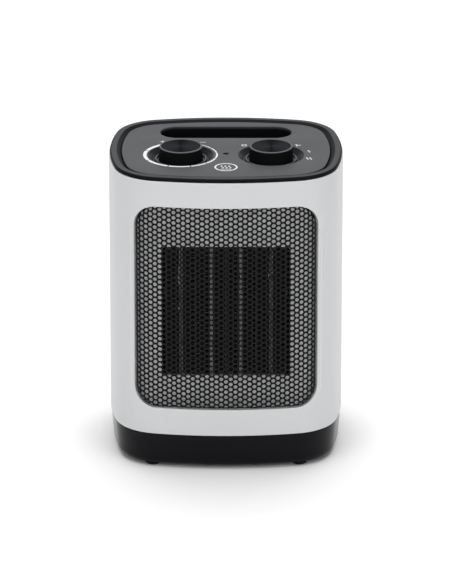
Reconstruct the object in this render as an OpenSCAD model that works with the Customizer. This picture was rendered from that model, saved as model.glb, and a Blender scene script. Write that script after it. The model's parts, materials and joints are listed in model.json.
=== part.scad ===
// Ceramic space heater: a compact upright PTC fan heater for a desk or a floor.
// The front faces -Y, +X is to the right seen from the front, +Z is up.
// The origin is on the floor, under the middle of the casing. Millimetres.

/* [Casing] */
// Width of the casing, side to side
body_w = 188; // [158:1:226]
// Depth of the casing, front to back
body_d = 155; // [140:1:186]
// Height of the two casing shells
casing_h = 215; // [208:1:258]
// Radius of the front and back faces
face_r = 300; // [270:5:360]
// Radius of the side faces
side_r = 185; // [170:5:240]
// Radius of the upright corners
corner_r = 40; // [37:1:44]
// Wall of the casing shells
casing_wall = 2.5; // [2:0.1:3]
// Where the front shell meets the rear shell, behind the middle
seam_y = 8; // [4:1:14]

/* [Base] */
// Height of the base tray
base_h = 26.8; // [25:0.2:34]
// Wall of the base tray
base_wall = 2.2; // [2:0.1:3]
// Step back of the base under the casing
base_step = 0.4; // [0.2:0.1:1]
// Height that the feet lift the base
foot_lift = 3; // [2:0.5:6]
// Diameter of a foot
foot_d = 12; // [10:0.5:16]
// Feet, in from the sides of the corner arcs
foot_in_x = 31.29; // [29.29:0.01:40.29]
// Feet, in from the front and back of the corner arcs
foot_in_y = 12.59; // [11.09:0.01:19.09]

/* [Air outlet] */
// Casing to the side of the outlet opening
outlet_side = 20.3; // [18:0.1:24]
// Casing under the outlet opening
outlet_low = 22.2; // [20:0.1:28]
// Casing over the outlet opening
outlet_high = 21.3; // [20:0.1:28]
// Corner radius of the outlet opening
outlet_r = 17.5; // [14:0.5:22]
// Thickness of the perforated steel sheet
sheet_t = 0.8; // [0.6:0.1:1]
// Spacing of the openings in the sheet
mesh_pitch = 13.2; // [12:0.1:20]
// Share of that spacing that is open
mesh_open = 0.8; // [0.5:0.05:0.85]
// Depth of the tray behind the sheet, from the front of the casing
tray_depth = 15.5; // [13:0.5:18]

/* [Heater] */
// Columns of heating tubes
tube_count = 4; // [3:1:4]
// Spacing of the heating tubes
tube_pitch = 24; // [20:0.5:24]
// Thickness of a heating tube
tube_t = 3.6; // [3:0.1:5]
// Depth of the heating tubes and fins
heater_depth = 15; // [12:0.5:18]
// Height of the heater window
window_h = 110; // [96:1:112]
// Middle of the heater window over the bottom of the casing
window_mid = 100.85; // [98:0.5:108]
// Pitch of the folded fins
fin_pitch = 5; // [4:0.5:8]
// Thickness of a folded fin
fin_t = 0.5; // [0.4:0.1:0.8]

/* [Fan] */
// Diameter of the fan's ring, inside
fan_d = 100; // [90:1:100]
// Tip clearance of the fan
fan_gap = 1.5; // [1:0.1:4]
// Number of fan blades
blade_count = 7; // [3:1:9]
// Diameter of the motor shaft
motor_shaft_d = 4; // [3:0.5:5]
// Diameter of the rotor
rotor_d = 28; // [24:0.5:30]

/* [Controls] */
// Spacing of the two dials
dial_span = 72.2; // [70:0.1:76]
// Radius of a dial recess at the panel
dial_r = 26.2; // [24:0.1:28]
// Depth of a dial recess
dial_depth = 4; // [3:0.5:5]
// Panel between the dials and the handle slot
dial_gap = 15.4; // [8:0.1:16]
// Radius of a knob at its foot
knob_r = 17.7; // [16:0.1:18.5]
// Height that a knob stands over the panel
knob_rise = 7.7; // [6:0.1:12]
// Diameter of a control shaft
control_shaft_d = 6; // [5:0.5:6.5]
// Length of the handle slot
slot_l = 106; // [96:1:110]
// Width of the handle slot
slot_w = 28.2; // [24:0.2:30]
// Handle slot to the back of the casing
slot_back = 21.8; // [20:0.2:24]
// Depth of the handle well
well_depth = 35; // [25:1:38]

/* [Tip-over switch] */
// Travel of the plunger
tip_travel = 5; // [3:0.5:5]
// Diameter of the plunger
tip_d = 8; // [6:0.5:10]

/* [Hidden] */
$fn = 64;

// Clearances
seat_gap = 0.2;          // between two pieces that are nested
run_gap = 0.05;          // radial, a shaft in its bore
tiny = 0.01;             // how far a cut runs past a face
reach = 400;             // longer than the whole heater

// Levels, from the floor up
base_z = foot_lift;
casing_z = base_z + base_h;
casing_top = casing_z + casing_h;
rim_top = casing_top + 3.2;
panel_top = rim_top - 1;
panel_t = 2.5;
panel_low = panel_top - panel_t;
recess_z = panel_top - dial_depth;
recess_floor = 2;
knob_top = panel_top + knob_rise;

// Centres of the tangent arcs of the outline
face_c = face_r - body_d / 2;
side_c = side_r - body_w / 2;
arc_span = norm([side_c, face_c]);
arc_along = ((face_r - corner_r) ^ 2 - (side_r - corner_r) ^ 2 + arc_span ^ 2) / (2 * arc_span);
arc_across = sqrt((face_r - corner_r) ^ 2 - arc_along ^ 2);
corner_x = (face_c * arc_across - side_c * arc_along) / arc_span;
corner_y = (side_c * arc_across + face_c * arc_along) / arc_span - face_c;
face_a = atan2(corner_x, face_c + corner_y);
side_a = atan2(corner_y, side_c + corner_x);

// Outlet opening and heater window
outlet_w = body_w - 2 * outlet_side;
outlet_z0 = casing_z + outlet_low;
outlet_z1 = casing_top - outlet_high;
outlet_h = outlet_z1 - outlet_z0;
outlet_mid = (outlet_z0 + outlet_z1) / 2;
sheet_in = casing_wall + seat_gap;
sheet_lap = 2.3;
tray_in = sheet_in + sheet_t + seat_gap;
tray_t = 2;
tray_back = tray_depth + tray_t - body_d / 2;
fan_z = casing_z + window_mid;
window_w = tube_count * tube_pitch + 5.4;
window_r = 1;
ear_x = 45;
ear_z = [outlet_z0 - 11, outlet_z1 + 11];

// Duct behind the window
duct_in_w = window_w + 0.6;
duct_in_h = window_h + 28;
duct_t = 2;
duct_y0 = tray_back;
duct_y1 = -22;
fan_y0 = -20;
fan_y1 = 8;
ring_y1 = 12;
mount_t = 2;

// Heater core
heater_y0 = duct_y0 + 1.5;
heater_y1 = heater_y0 + heater_depth;
fin_h = window_h + 1.5;
plate_t = 1;
holder_h = 12;
holder_bite = 5;

// Motor, along Y behind the fan
bracket_t = 2;
bracket_y0 = ring_y1 + mount_t + 3;
stator_y0 = bracket_y0 + bracket_t + 4;
stator_l = 16;
stator_y1 = stator_y0 + stator_l;
bracket_y1 = stator_y1 + 4;
air_gap = 0.5;
stator_w = 50;
stator_up = 21;
stator_down = 43;
motor_screw_x = 20;
bush_r = 4;

// Controls
slot_y = body_d / 2 - slot_back - slot_w / 2;
dial_y = slot_y - slot_w / 2 - dial_gap - dial_r;
dial_x = dial_span / 2;
recess_foot_r = dial_r - 4.2;
knob_top_r = knob_r - 0.4;
cap_r = knob_top_r - 1.6;
knob_z = recess_z + 0.4;
neck_r = control_shaft_d / 2 + 2;
lens_y = dial_y + 3;
lens_r = 2.25;

// Fasteners
screw_r = 1.7;
screw_head_r = 3.4;
pilot_gap = 0.05;
corner_boss = 29.8;
boss_r = 4.8;
boss_h = 16;
casing_boss_x = body_w / 2 - 21;
casing_boss_z = [casing_z + 32, casing_top - 32];

// Tip-over switch and cord entry
tip_x = -40;
tip_y = 15;
tip_floor = base_z + base_wall;
gland_z = base_z + 13;
gland_bore_r = 3.6;
gland_r = 6.5;
gland_l = 14;

// Round foot and draft of the base
base_round = 5.6;
base_round_in = 3.4;
base_draft = 2.2;

// ---- Outline of the casing: four large arcs joined by four corner arcs ----

// Points along an arc, without its last one
function arc(c, r, a0, a1, n) =
    [for (i = [0:n - 1]) let (a = a0 + (a1 - a0) * i / n) c + r * [cos(a), sin(a)]];

// Outline of the casing, stepped in by inset
module outline(inset = 0) {
    face = face_r - inset;
    side = side_r - inset;
    corner = corner_r - inset;
    polygon(concat(
        arc([-side_c, 0], side, -side_a, side_a, 12),
        arc([corner_x, corner_y], corner, side_a, 90 - face_a, 12),
        arc([0, -face_c], face, 90 - face_a, 90 + face_a, 16),
        arc([-corner_x, corner_y], corner, 90 + face_a, 180 - side_a, 12),
        arc([side_c, 0], side, 180 - side_a, 180 + side_a, 12),
        arc([-corner_x, -corner_y], corner, 180 + side_a, 270 - face_a, 12),
        arc([0, face_c], face, 270 - face_a, 270 + face_a, 16),
        arc([corner_x, -corner_y], corner, 270 + face_a, 360 - side_a, 12)));
}

// Solid of the outline from z0 to z1
module body_solid(z0, z1, inset = 0) {
    translate([0, 0, z0]) linear_extrude(z1 - z0) outline(inset);
}

// Wall that follows the outline from z0 to z1
module body_ring(z0, z1, inset, wall) {
    translate([0, 0, z0]) linear_extrude(z1 - z0) difference() {
        outline(inset);
        outline(inset + wall);
    }
}

// ---- Shared shapes ----

// Rectangle with round corners
module round_rect(w, h, r) {
    square([w - 2 * r, h], center = true);
    square([w, h - 2 * r], center = true);
    for (x = [-1, 1], y = [-1, 1]) translate([x * (w / 2 - r), y * (h / 2 - r)]) circle(r);
}

// Outlet shape, grown by e on every side, as a prism along Y from y0 to y1
module outlet_prism(e, y0, y1) {
    translate([0, y1, outlet_mid]) rotate([90, 0, 0])
        linear_extrude(y1 - y0) round_rect(outlet_w + 2 * e, outlet_h + 2 * e, outlet_r + e);
}

// Slot with round ends, centred
module stadium(l, w) {
    square([l - w, w], center = true);
    for (x = [-1, 1]) translate([x * (l - w) / 2, 0]) circle(w / 2);
}

// Places its children at the four corner bosses; side is -1 for the front pair, 1 for the back pair
module corner_bosses(side) {
    for (x = [-1, 1])
        translate([x * (corner_x + corner_boss * cos(45)), side * (corner_y + corner_boss * sin(45)), 0])
            children();
}

// Cylinder along +Y from y0 to y1
module rod_y(r, y0, y1) {
    translate([0, y0, 0]) rotate([-90, 0, 0]) cylinder(h = y1 - y0, r = r);
}

// Box from one corner to the opposite one
module block(low, high) {
    translate(low) cube(high - low);
}

// Dial centres: -1 is the thermostat, 1 the mode switch
module at_dial(side) {
    translate([side * dial_x, dial_y, 0]) children();
}

// ---- Base ----

// Step in of the base at the height h over its foot: round at the foot, then a slight draft
function base_inset(h) = let (a = max(0, 1 - h / base_round))
    base_step + base_draft * (1 - h / base_h) + base_round_in * (1 - sqrt(1 - a * a));

// Outside of the base, in level steps that follow its round foot
module base_form() {
    levels = [0, 0.5, 1.2, 2.2, 3.6, base_round, base_round + 7, base_h];
    for (i = [0:len(levels) - 2])
        body_solid(base_z + levels[i], base_z + levels[i + 1], base_inset((levels[i] + levels[i + 1]) / 2));
}

// Places its children at the feet
module at_feet() {
    for (x = [-1, 1], y = [-1, 1])
        translate([x * (corner_x + corner_r - foot_in_x), y * (corner_y + corner_r - foot_in_y), 0]) children();
}

module base_tray() {
    color([0.07, 0.07, 0.08]) difference() {
        base_form();
        difference() {
            union() {
                body_solid(tip_floor, base_z + base_round, base_inset(base_wall) + base_wall);
                body_solid(base_z + base_round, casing_z + 1, base_inset(base_round) + base_wall);
            }
            for (side = [-1, 1]) corner_bosses(side)
                translate([0, 0, base_z]) cylinder(h = base_h + 1, r = boss_r);
        }
        for (side = [-1, 1]) corner_bosses(side) {
            translate([0, 0, base_z - 1]) cylinder(h = base_h + 2, r = screw_r + 0.3);
            translate([0, 0, base_z - 1]) cylinder(h = 16, r = screw_head_r + 0.3);
        }
        at_feet() translate([0, 0, base_z - 1]) cylinder(h = base_wall + 2, r = foot_d / 4);
        translate([tip_x, tip_y, base_z - 1]) cylinder(h = base_wall + 2, r = tip_d / 2 + 0.3);
        translate([0, 0, gland_z]) rod_y(gland_r, body_d / 2 - 20, body_d / 2 + 5);
    }
}

module rubber_feet() {
    stem_r = foot_d / 4 - 0.1;
    color([0.1, 0.1, 0.1]) at_feet() {
        cylinder(h = 1, r1 = foot_d / 2 - 1, r2 = foot_d / 2);
        translate([0, 0, 1]) cylinder(h = foot_lift - 1, r = foot_d / 2);
        translate([0, 0, foot_lift]) cylinder(h = base_wall, r = stem_r);
        translate([0, 0, foot_lift + base_wall]) cylinder(h = 3, r1 = stem_r + 1, r2 = stem_r - 0.5);
    }
}

module base_screws() {
    head_z = base_z + 15;
    color([0.55, 0.55, 0.57]) for (side = [-1, 1]) corner_bosses(side) difference() {
        union() {
            translate([0, 0, head_z - 2.4]) cylinder(h = 2.4, r = screw_head_r);
            translate([0, 0, head_z]) cylinder(h = casing_z + boss_h - 3 - head_z, r = screw_r);
        }
        translate([0, 0, head_z - 2.4]) cross_slot();
    }
}

// Cross recess of a screw, cut upwards from z = 0
module cross_slot() {
    for (a = [0, 90]) rotate([0, 0, a]) block([-1.8, -0.4, -1], [1.8, 0.4, 1.2]);
}

module cord_gland() {
    y1 = body_d / 2 - base_step;
    color([0.12, 0.12, 0.13]) translate([0, 0, gland_z]) difference() {
        union() {
            rod_y(gland_r - 0.1, y1 - gland_l, y1 - 0.2);
            rod_y(gland_r + 2, y1 - gland_l, y1 - gland_l + 2.5);
        }
        rod_y(gland_bore_r, y1 - gland_l - 1, y1 + 1);
    }
}

module terminal_block() {
    w = 30;
    color([0.85, 0.83, 0.75]) translate([38, 20, tip_floor]) difference() {
        block([-w / 2, -8, 0], [w / 2, 8, 13]);
        for (x = [-9, 0, 9]) translate([x, 0, 4]) {
            cylinder(h = 10, r = 2.2);
            rod_y(1.6, -9, 9);
        }
    }
}

// ---- Tip-over switch ----

tip_flange_r = tip_d / 2 + 1.8;
tip_flange_z = tip_floor + tip_travel + 0.5;
tip_flange_t = 1.6;
tip_spring_z = tip_flange_z + tip_flange_t;
tip_roof = tip_floor + 20;

module tip_switch_body() {
    color([0.25, 0.25, 0.27]) translate([tip_x, tip_y, 0]) difference() {
        block([-12, -9, tip_floor], [12, 9, tip_roof + 2]);
        translate([0, 0, tip_floor - 1]) cylinder(h = tip_roof - tip_floor + 1, r = tip_flange_r + 0.3);
    }
}

module tip_plunger() {
    color([0.8, 0.8, 0.78]) translate([tip_x, tip_y, 0]) {
        cylinder(h = 1, r1 = tip_d / 2 - 1, r2 = tip_d / 2);
        translate([0, 0, 1]) cylinder(h = tip_flange_z - 1, r = tip_d / 2);
        translate([0, 0, tip_flange_z]) cylinder(h = tip_flange_t, r = tip_flange_r);
    }
}

// One point of the spring's surface: turn t along the helix, angle a round the wire
function coil_point(t, a, r, wire, pitch) =
    [(r + wire * cos(a)) * cos(360 * t), (r + wire * cos(a)) * sin(360 * t), pitch * t + wire * sin(a)];

module tip_spring() {
    turns = 4;
    steps = 12;
    sides = 6;
    wire = 0.45;
    r = tip_d / 2 - 0.4;
    n = turns * steps;
    pitch = (tip_roof - tip_spring_z - 2 * wire - 0.1) / turns;
    points = [for (i = [0:n], k = [0:sides - 1]) coil_point(i / steps, -360 * k / sides, r, wire, pitch)];
    walls = [for (i = [0:n - 1], k = [0:sides - 1]) let (m = (k + 1) % sides)
        [i * sides + k, i * sides + m, (i + 1) * sides + m, (i + 1) * sides + k]];
    ends = [[for (k = [sides - 1:-1:0]) k], [for (k = [0:sides - 1]) n * sides + k]];
    color([0.7, 0.7, 0.72]) translate([tip_x, tip_y, tip_spring_z + wire + 0.05])
        polyhedron(points, concat(walls, ends), convexity = 8);
}

// ---- Casing ----

flange_w = 14;
flange_t = 2.5;

// Half of the casing shell with its foot flange; side is -1 in front, 1 behind
module casing_half(side) {
    y0 = side < 0 ? -reach : seam_y;
    y1 = side < 0 ? seam_y : reach;
    intersection() {
        union() {
            body_ring(casing_z, casing_z + flange_t, 0, flange_w);
            body_ring(casing_z + flange_t, casing_top, 0, casing_wall);
        }
        block([-reach, y0, 0], [reach, y1, reach]);
    }
    corner_bosses(side) translate([0, 0, casing_z]) cylinder(h = boss_h, r = boss_r);
}

// Pilot holes for the base screws
module casing_pilots(side) {
    corner_bosses(side) translate([0, 0, casing_z - 1]) cylinder(h = boss_h - 1, r = screw_r + pilot_gap);
}

// Screw bosses that join the shells, from y0 to y1
module seam_bosses(r, y0, y1) {
    for (x = [-1, 1], z = casing_boss_z) translate([x * casing_boss_x, 0, z]) rod_y(r, y0, y1);
}

module front_casing() {
    rib = body_w / 2 - casing_wall / 2;
    color([0.86, 0.86, 0.87]) difference() {
        union() {
            casing_half(-1);
            seam_bosses(boss_r, seam_y - 16, seam_y);
            for (x = [-1, 1], z = casing_boss_z)
                block([min(x * casing_boss_x, x * rib), seam_y - 16, z - 1.2],
                    [max(x * casing_boss_x, x * rib), seam_y, z + 1.2]);
            for (x = [-1, 1], z = ear_z) intersection() {
                translate([x * ear_x, 0, z]) rod_y(boss_r, -body_d / 2, tray_back - tray_t);
                body_solid(casing_z, casing_top, 1);
            }
        }
        outlet_prism(0, -body_d / 2 - 1, -20);
        casing_pilots(-1);
        seam_bosses(screw_r + pilot_gap, seam_y - 14, seam_y + 1);
        for (x = [-1, 1], z = ear_z)
            translate([x * ear_x, 0, z]) rod_y(screw_r + pilot_gap, tray_back - tray_t - 8, tray_back);
    }
}

intake_w = body_w - 68;
intake_h = 132;
intake_r = 14;

// Air intake in the back, grown by e on every side
module intake_prism(e) {
    translate([0, reach, fan_z]) rotate([90, 0, 0])
        linear_extrude(reach - seam_y - 10) round_rect(intake_w + 2 * e, intake_h + 2 * e, intake_r + e);
}

module rear_casing() {
    color([0.86, 0.86, 0.87]) difference() {
        union() {
            casing_half(1);
            intersection() {
                seam_bosses(boss_r, seam_y, body_d / 2);
                body_solid(casing_z, casing_top, 1);
            }
        }
        intake_prism(0);
        casing_pilots(1);
        seam_bosses(screw_r + 0.3, seam_y - 1, seam_y + 12);
        seam_bosses(screw_head_r + 0.3, seam_y + 8, body_d);
    }
}

module casing_screws() {
    head_y = seam_y + 8;
    color([0.55, 0.55, 0.57]) for (x = [-1, 1], z = casing_boss_z) translate([x * casing_boss_x, 0, z])
        difference() {
            union() {
                rod_y(screw_r, seam_y - 12, head_y);
                rod_y(screw_head_r, head_y, head_y + 2.4);
            }
            translate([0, head_y + 2.4, 0]) rotate([90, 0, 0]) cross_slot();
        }
}

module rear_intake_grille() {
    bars = 13;
    slat = intake_h / bars;
    color([0.09, 0.09, 0.1]) {
        difference() {
            intersection() {
                body_ring(casing_z, casing_top, 0.6, 2.4);
                intake_prism(-0.3);
            }
            for (i = [0:bars - 1]) translate([0, 0, fan_z - intake_h / 2 + (i + 0.5) * slat])
                for (x = [-1, 1]) block([x > 0 ? 2 : 8 - intake_w / 2, seam_y + 20, -slat * 0.3],
                    [x > 0 ? intake_w / 2 - 8 : -2, body_d, slat * 0.3]);
        }
        intersection() {
            body_ring(casing_z, casing_top, casing_wall + seat_gap, 1.6);
            difference() {
                intake_prism(4);
                intake_prism(-4);
            }
        }
        intersection() {
            body_ring(casing_z, casing_top, 2.8, 0.2 + casing_wall - 2.3);
            difference() {
                intake_prism(-0.3);
                intake_prism(-4);
            }
        }
    }
}

// ---- Air outlet ----

// The sheet follows the front at the distance sheet_in, so a place on it is a length s along its curve
sheet_face_s = (face_r - sheet_in) * face_a * PI / 180;
function sheet_turn(s) = abs(s) <= sheet_face_s ? s / (face_r - sheet_in) * 180 / PI
    : sign(s) * (face_a + (abs(s) - sheet_face_s) / (corner_r - sheet_in) * 180 / PI);
function sheet_hub(s) = abs(s) <= sheet_face_s ? [0, face_c] : [sign(s) * corner_x, -corner_y];
function sheet_r(s) = abs(s) <= sheet_face_s ? face_r - sheet_in : corner_r - sheet_in;

// Distance from a place on the sheet to the straight middle of a rounded field
function field_off(s, z, w, h) = norm([max(0, abs(s) - w), max(0, abs(z) - h)]);

module front_grille() {
    col = mesh_pitch * cos(30);
    cols = floor(outlet_w / 2 / col);
    rows = floor(outlet_h / 2 / mesh_pitch) + 1;
    margin = mesh_pitch * 0.62;
    color([0.08, 0.08, 0.09]) difference() {
        intersection() {
            body_ring(outlet_z0 - 5, outlet_z1 + 5, sheet_in, sheet_t);
            outlet_prism(sheet_lap, -body_d, -20);
        }
        for (i = [-cols:cols], j = [-rows:rows]) {
            s = i * col;
            z = (j + (abs(i) % 2) / 2) * mesh_pitch;
            if (field_off(s, z, outlet_w / 2 - outlet_r, outlet_h / 2 - outlet_r) < outlet_r - margin + 3)
                translate([sheet_hub(s)[0], sheet_hub(s)[1], outlet_mid + z]) rotate([90, 0, sheet_turn(s)])
                    translate([0, 0, sheet_r(s) - 2]) cylinder(h = 4, r = mesh_pitch * mesh_open / 2);
        }
    }
}

module outlet_frame() {
    y0 = tray_back - tray_t;
    color([0.84, 0.84, 0.85]) difference() {
        union() {
            intersection() {
                union() {
                    outlet_prism(3, y0, tray_back);
                    difference() {
                        outlet_prism(3, -body_d, tray_back);
                        outlet_prism(1, -body_d - 1, tray_back + 1);
                    }
                }
                body_solid(casing_z, casing_top, tray_in);
            }
            for (x = [-1, 1], z = [0, 1])
                block([x * ear_x - 6, y0, z == 0 ? ear_z[0] - 6 : outlet_z1],
                    [x * ear_x + 6, tray_back, z == 0 ? outlet_z0 : ear_z[1] + 6]);
        }
        translate([0, tray_back + 1, fan_z]) rotate([90, 0, 0])
            linear_extrude(tray_t + 2) round_rect(window_w, window_h, window_r);
        for (x = [-1, 1], z = ear_z) translate([x * ear_x, 0, z]) rod_y(screw_r + 0.2, y0 - 1, tray_back + 1);
        at_duct_screws() rod_y(1.5 + pilot_gap, tray_back - 1.6, tray_back + 1);
    }
}

module outlet_screws() {
    color([0.55, 0.55, 0.57]) for (x = [-1, 1], z = ear_z) translate([x * ear_x, 0, z]) difference() {
        union() {
            rod_y(screw_r, tray_back - tray_t - 7, tray_back);
            rod_y(screw_head_r, tray_back, tray_back + 2.4);
        }
        translate([0, tray_back + 2.4, 0]) rotate([90, 0, 0]) cross_slot();
    }
}

// ---- Heater core ----

// Places of the tubes, and of the plates between them
function tube_x(i) = (i - (tube_count - 1) / 2) * tube_pitch;
function plate_x(i) = (i - tube_count / 2) * tube_pitch;

module heater_tubes() {
    h = fin_h + 2 * holder_bite;
    color([0.78, 0.78, 0.78]) for (i = [0:tube_count - 1])
        translate([tube_x(i), (heater_y0 + heater_y1) / 2, fan_z - h / 2]) difference() {
            block([-tube_t / 2, -heater_depth / 2, 0], [tube_t / 2, heater_depth / 2, h]);
            block([0.6 - tube_t / 2, 0.6 - heater_depth / 2, -1],
                [tube_t / 2 - 0.6, heater_depth / 2 - 0.6, h + 1]);
        }
}

module heater_stones() {
    stones = 4;
    step = fin_h / stones;
    color([0.9, 0.88, 0.82]) for (i = [0:tube_count - 1], k = [0:stones - 1])
        translate([tube_x(i), (heater_y0 + heater_y1) / 2, fan_z - fin_h / 2 + k * step + 1])
            block([0.7 - tube_t / 2, 1 - heater_depth / 2, 0],
                [tube_t / 2 - 0.7, heater_depth / 2 - 1, step - 2]);
}

// Folded strip that runs up from z = 0, between x = 0 and x = w
module folded_fin(w, folds) {
    front = [for (i = [0:folds]) [i % 2 == 0 ? 0 : w - fin_t, i * fin_pitch / 2]];
    back = [for (i = [folds:-1:0]) [i % 2 == 0 ? fin_t : w, i * fin_pitch / 2]];
    rotate([90, 0, 0]) linear_extrude(heater_depth) polygon(concat(front, back));
}

module heater_fins() {
    w = (tube_pitch - tube_t - plate_t) / 2;
    folds = floor(2 * fin_h / fin_pitch);
    z0 = fan_z - folds * fin_pitch / 4;
    color([0.3, 0.3, 0.31]) for (i = [0:tube_count - 1]) {
        translate([tube_x(i) + tube_t / 2, heater_y1, z0]) folded_fin(w, folds);
        translate([tube_x(i) - tube_t / 2 - w, heater_y1, z0]) folded_fin(w, folds);
    }
}

module heater_plates() {
    color([0.5, 0.5, 0.52]) for (i = [0:tube_count])
        block([plate_x(i) - plate_t / 2, heater_y0, fan_z - fin_h / 2],
            [plate_x(i) + plate_t / 2, heater_y1, fan_z + fin_h / 2]);
}

// Moulded holder for the ends of the tubes, reaching up from z = 0 over the heater
module tube_holder() {
    w = duct_in_w - 2 * seat_gap;
    difference() {
        block([-w / 2, heater_y0 - 1, 0], [w / 2, heater_y1 + 3, holder_h]);
        for (i = [0:tube_count - 1])
            block([tube_x(i) - tube_t / 2, heater_y0, -1], [tube_x(i) + tube_t / 2, heater_y1, holder_bite]);
        at_terminals() block([-3.3, -0.5, -1], [3.3, 0.5, holder_h + 1]);
    }
}

// Places of the three terminals
module at_terminals() {
    for (i = [0:2]) translate([(i - 1) * 1.5 * tube_pitch, heater_y1 + 1.2, 0]) children();
}

module heater_top_holder() {
    color([0.13, 0.13, 0.14]) translate([0, 0, fan_z + fin_h / 2]) tube_holder();
}

module heater_bottom_holder() {
    color([0.13, 0.13, 0.14]) translate([0, 0, fan_z - fin_h / 2]) mirror([0, 0, 1]) tube_holder();
}

module heater_terminals() {
    z0 = fan_z + fin_h / 2;
    color([0.8, 0.65, 0.3]) at_terminals() difference() {
        block([-3.15, -0.4, z0 + 1], [3.15, 0.4, z0 + holder_h + 10]);
        translate([0, 0, z0 + holder_h + 6]) rod_y(0.9, -1, 1);
    }
}

module thermal_cutoff() {
    z = fan_z + duct_in_h / 2 + duct_t;
    color([0.75, 0.73, 0.68]) translate([duct_in_w / 4 - 2, -34, z]) {
        cylinder(h = 6, r = 7.5);
        block([-12, -3, 0], [12, 3, 0.8]);
        for (x = [-1, 1]) translate([0, 0, 5.5]) block([x * 4 - 1.6, -0.4, 0], [x * 4 + 1.6, 0.4, 8]);
    }
}

module thermal_fuse() {
    z = fan_z + duct_in_h / 2 + duct_t;
    color([0.85, 0.85, 0.8]) translate([-duct_in_w / 4 - 6, -32, z + 2.4]) rotate([0, 90, 0]) {
        cylinder(h = 12, r = 2.4);
        translate([0, 0, -8]) cylinder(h = 28, r = 0.6);
    }
}

// ---- Air duct and fan ----

// Places of the screws that hold the duct to the outlet frame
module at_duct_screws() {
    for (x = [-1, 1], z = [-1, 1])
        translate([x * (duct_in_w / 2 + duct_t + 3.5), 0, fan_z + z * (duct_in_h / 2 - 6)]) children();
}

// Flat box shape in the XZ plane round the fan axis, from y0 to y1
module duct_box(w, h, y0, y1) {
    block([-w / 2, y0, fan_z - h / 2], [w / 2, y1, fan_z + h / 2]);
}

module air_duct() {
    out_w = duct_in_w + 2 * duct_t;
    out_h = duct_in_h + 2 * duct_t;
    color([0.16, 0.16, 0.17]) difference() {
        union() {
            duct_box(out_w, out_h, duct_y0, duct_y1);
            at_duct_screws() block([-5, duct_y0, -6], [5, duct_y0 + 2.5, 6]);
            translate([0, 0, fan_z]) rod_y(fan_d / 2 + duct_t, duct_y1 - 2, ring_y1);
        }
        duct_box(duct_in_w, duct_in_h, duct_y0 - 1, duct_y1 - duct_t);
        translate([0, 0, fan_z]) rod_y(fan_d / 2, duct_y1 - 5, ring_y1 + 1);
        at_duct_screws() rod_y(1.7, duct_y0 - 1, duct_y0 + 4);
        translate([0, 0, fan_z + duct_in_h / 2 - 1]) at_terminals() block([-3.8, -0.9, 0], [3.8, 0.9, 5]);
    }
}

module duct_screws() {
    color([0.55, 0.55, 0.57]) at_duct_screws() difference() {
        union() {
            rod_y(1.5, duct_y0 - 1.4, duct_y0 + 2.5);
            rod_y(3, duct_y0 + 2.5, duct_y0 + 4.5);
        }
        translate([0, duct_y0 + 4.5, 0]) rotate([90, 0, 0]) cross_slot();
    }
}

// Flat spider that carries the motor across the fan's ring
module mount_spider() {
    difference() {
        union() {
            circle(27);
            difference() {
                circle(fan_d / 2 + duct_t);
                circle(fan_d / 2 - 3);
            }
            for (a = [45, 135]) rotate(a) square([fan_d - 2, 7], center = true);
        }
        circle(10);
        for (x = [-1, 1]) translate([x * motor_screw_x, 0]) circle(1.9 + pilot_gap);
    }
}

module motor_mount() {
    color([0.16, 0.16, 0.17]) {
        translate([0, ring_y1 + mount_t, fan_z]) rotate([90, 0, 0]) linear_extrude(mount_t) mount_spider();
        for (x = [-1, 1]) translate([x * motor_screw_x, 0, fan_z]) difference() {
            rod_y(4.5, ring_y1 + mount_t, bracket_y0);
            rod_y(1.9 + pilot_gap, ring_y1, bracket_y0 + 1);
        }
    }
}

// Bearing bracket that bridges the stator; its strap lies from y = 0 to its thickness, its feet behind
module bearing_bracket() {
    difference() {
        union() {
            block([-stator_w / 2, 0, -7], [stator_w / 2, bracket_t, 7]);
            for (x = [-1, 1]) translate([x * motor_screw_x, 0, 0]) rod_y(4.5, 0, bracket_t + 4);
            rod_y(bush_r + 3, -2, bracket_t + 1.5);
        }
        rod_y(bush_r, -3, bracket_t + 3);
        for (x = [-1, 1]) translate([x * motor_screw_x, 0, 0]) rod_y(2.1, -1, bracket_t + 5);
    }
}

module motor_front_bracket() {
    color([0.65, 0.66, 0.68]) translate([0, bracket_y0, fan_z]) bearing_bracket();
}

module motor_rear_bracket() {
    color([0.65, 0.66, 0.68]) translate([0, bracket_y1 + bracket_t, fan_z])
        mirror([0, 1, 0]) bearing_bracket();
}

module motor_bushes() {
    color([0.72, 0.52, 0.25]) translate([0, 0, fan_z])
        for (y = [bracket_y0 - 2, bracket_y1 - 1.5]) difference() {
            rod_y(bush_r, y, y + bracket_t + 3.5);
            rod_y(motor_shaft_d / 2 + run_gap, y - 1, y + bracket_t + 5);
        }
}

module motor_stator() {
    color([0.45, 0.45, 0.47]) translate([0, 0, fan_z]) difference() {
        block([-stator_w / 2, stator_y0, -stator_down], [stator_w / 2, stator_y1, stator_up]);
        rod_y(rotor_d / 2 + air_gap, stator_y0 - 1, stator_y1 + 1);
        for (x = [-1, 1]) translate([x * motor_screw_x, 0, 0]) rod_y(2.1, stator_y0 - 1, stator_y1 + 1);
        block([-16, stator_y0 - 1, 11 - stator_down], [16, stator_y1 + 1, -19]);
    }
}

module motor_coil() {
    color([0.6, 0.3, 0.12]) translate([0, 0, fan_z]) difference() {
        block([-15, stator_y0 - 6, -stator_down - 6], [15, stator_y1 + 6, 17 - stator_down]);
        block([-16, stator_y0 - seat_gap, -stator_down - seat_gap],
            [16, stator_y1 + seat_gap, 11 - stator_down + seat_gap]);
    }
}

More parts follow.
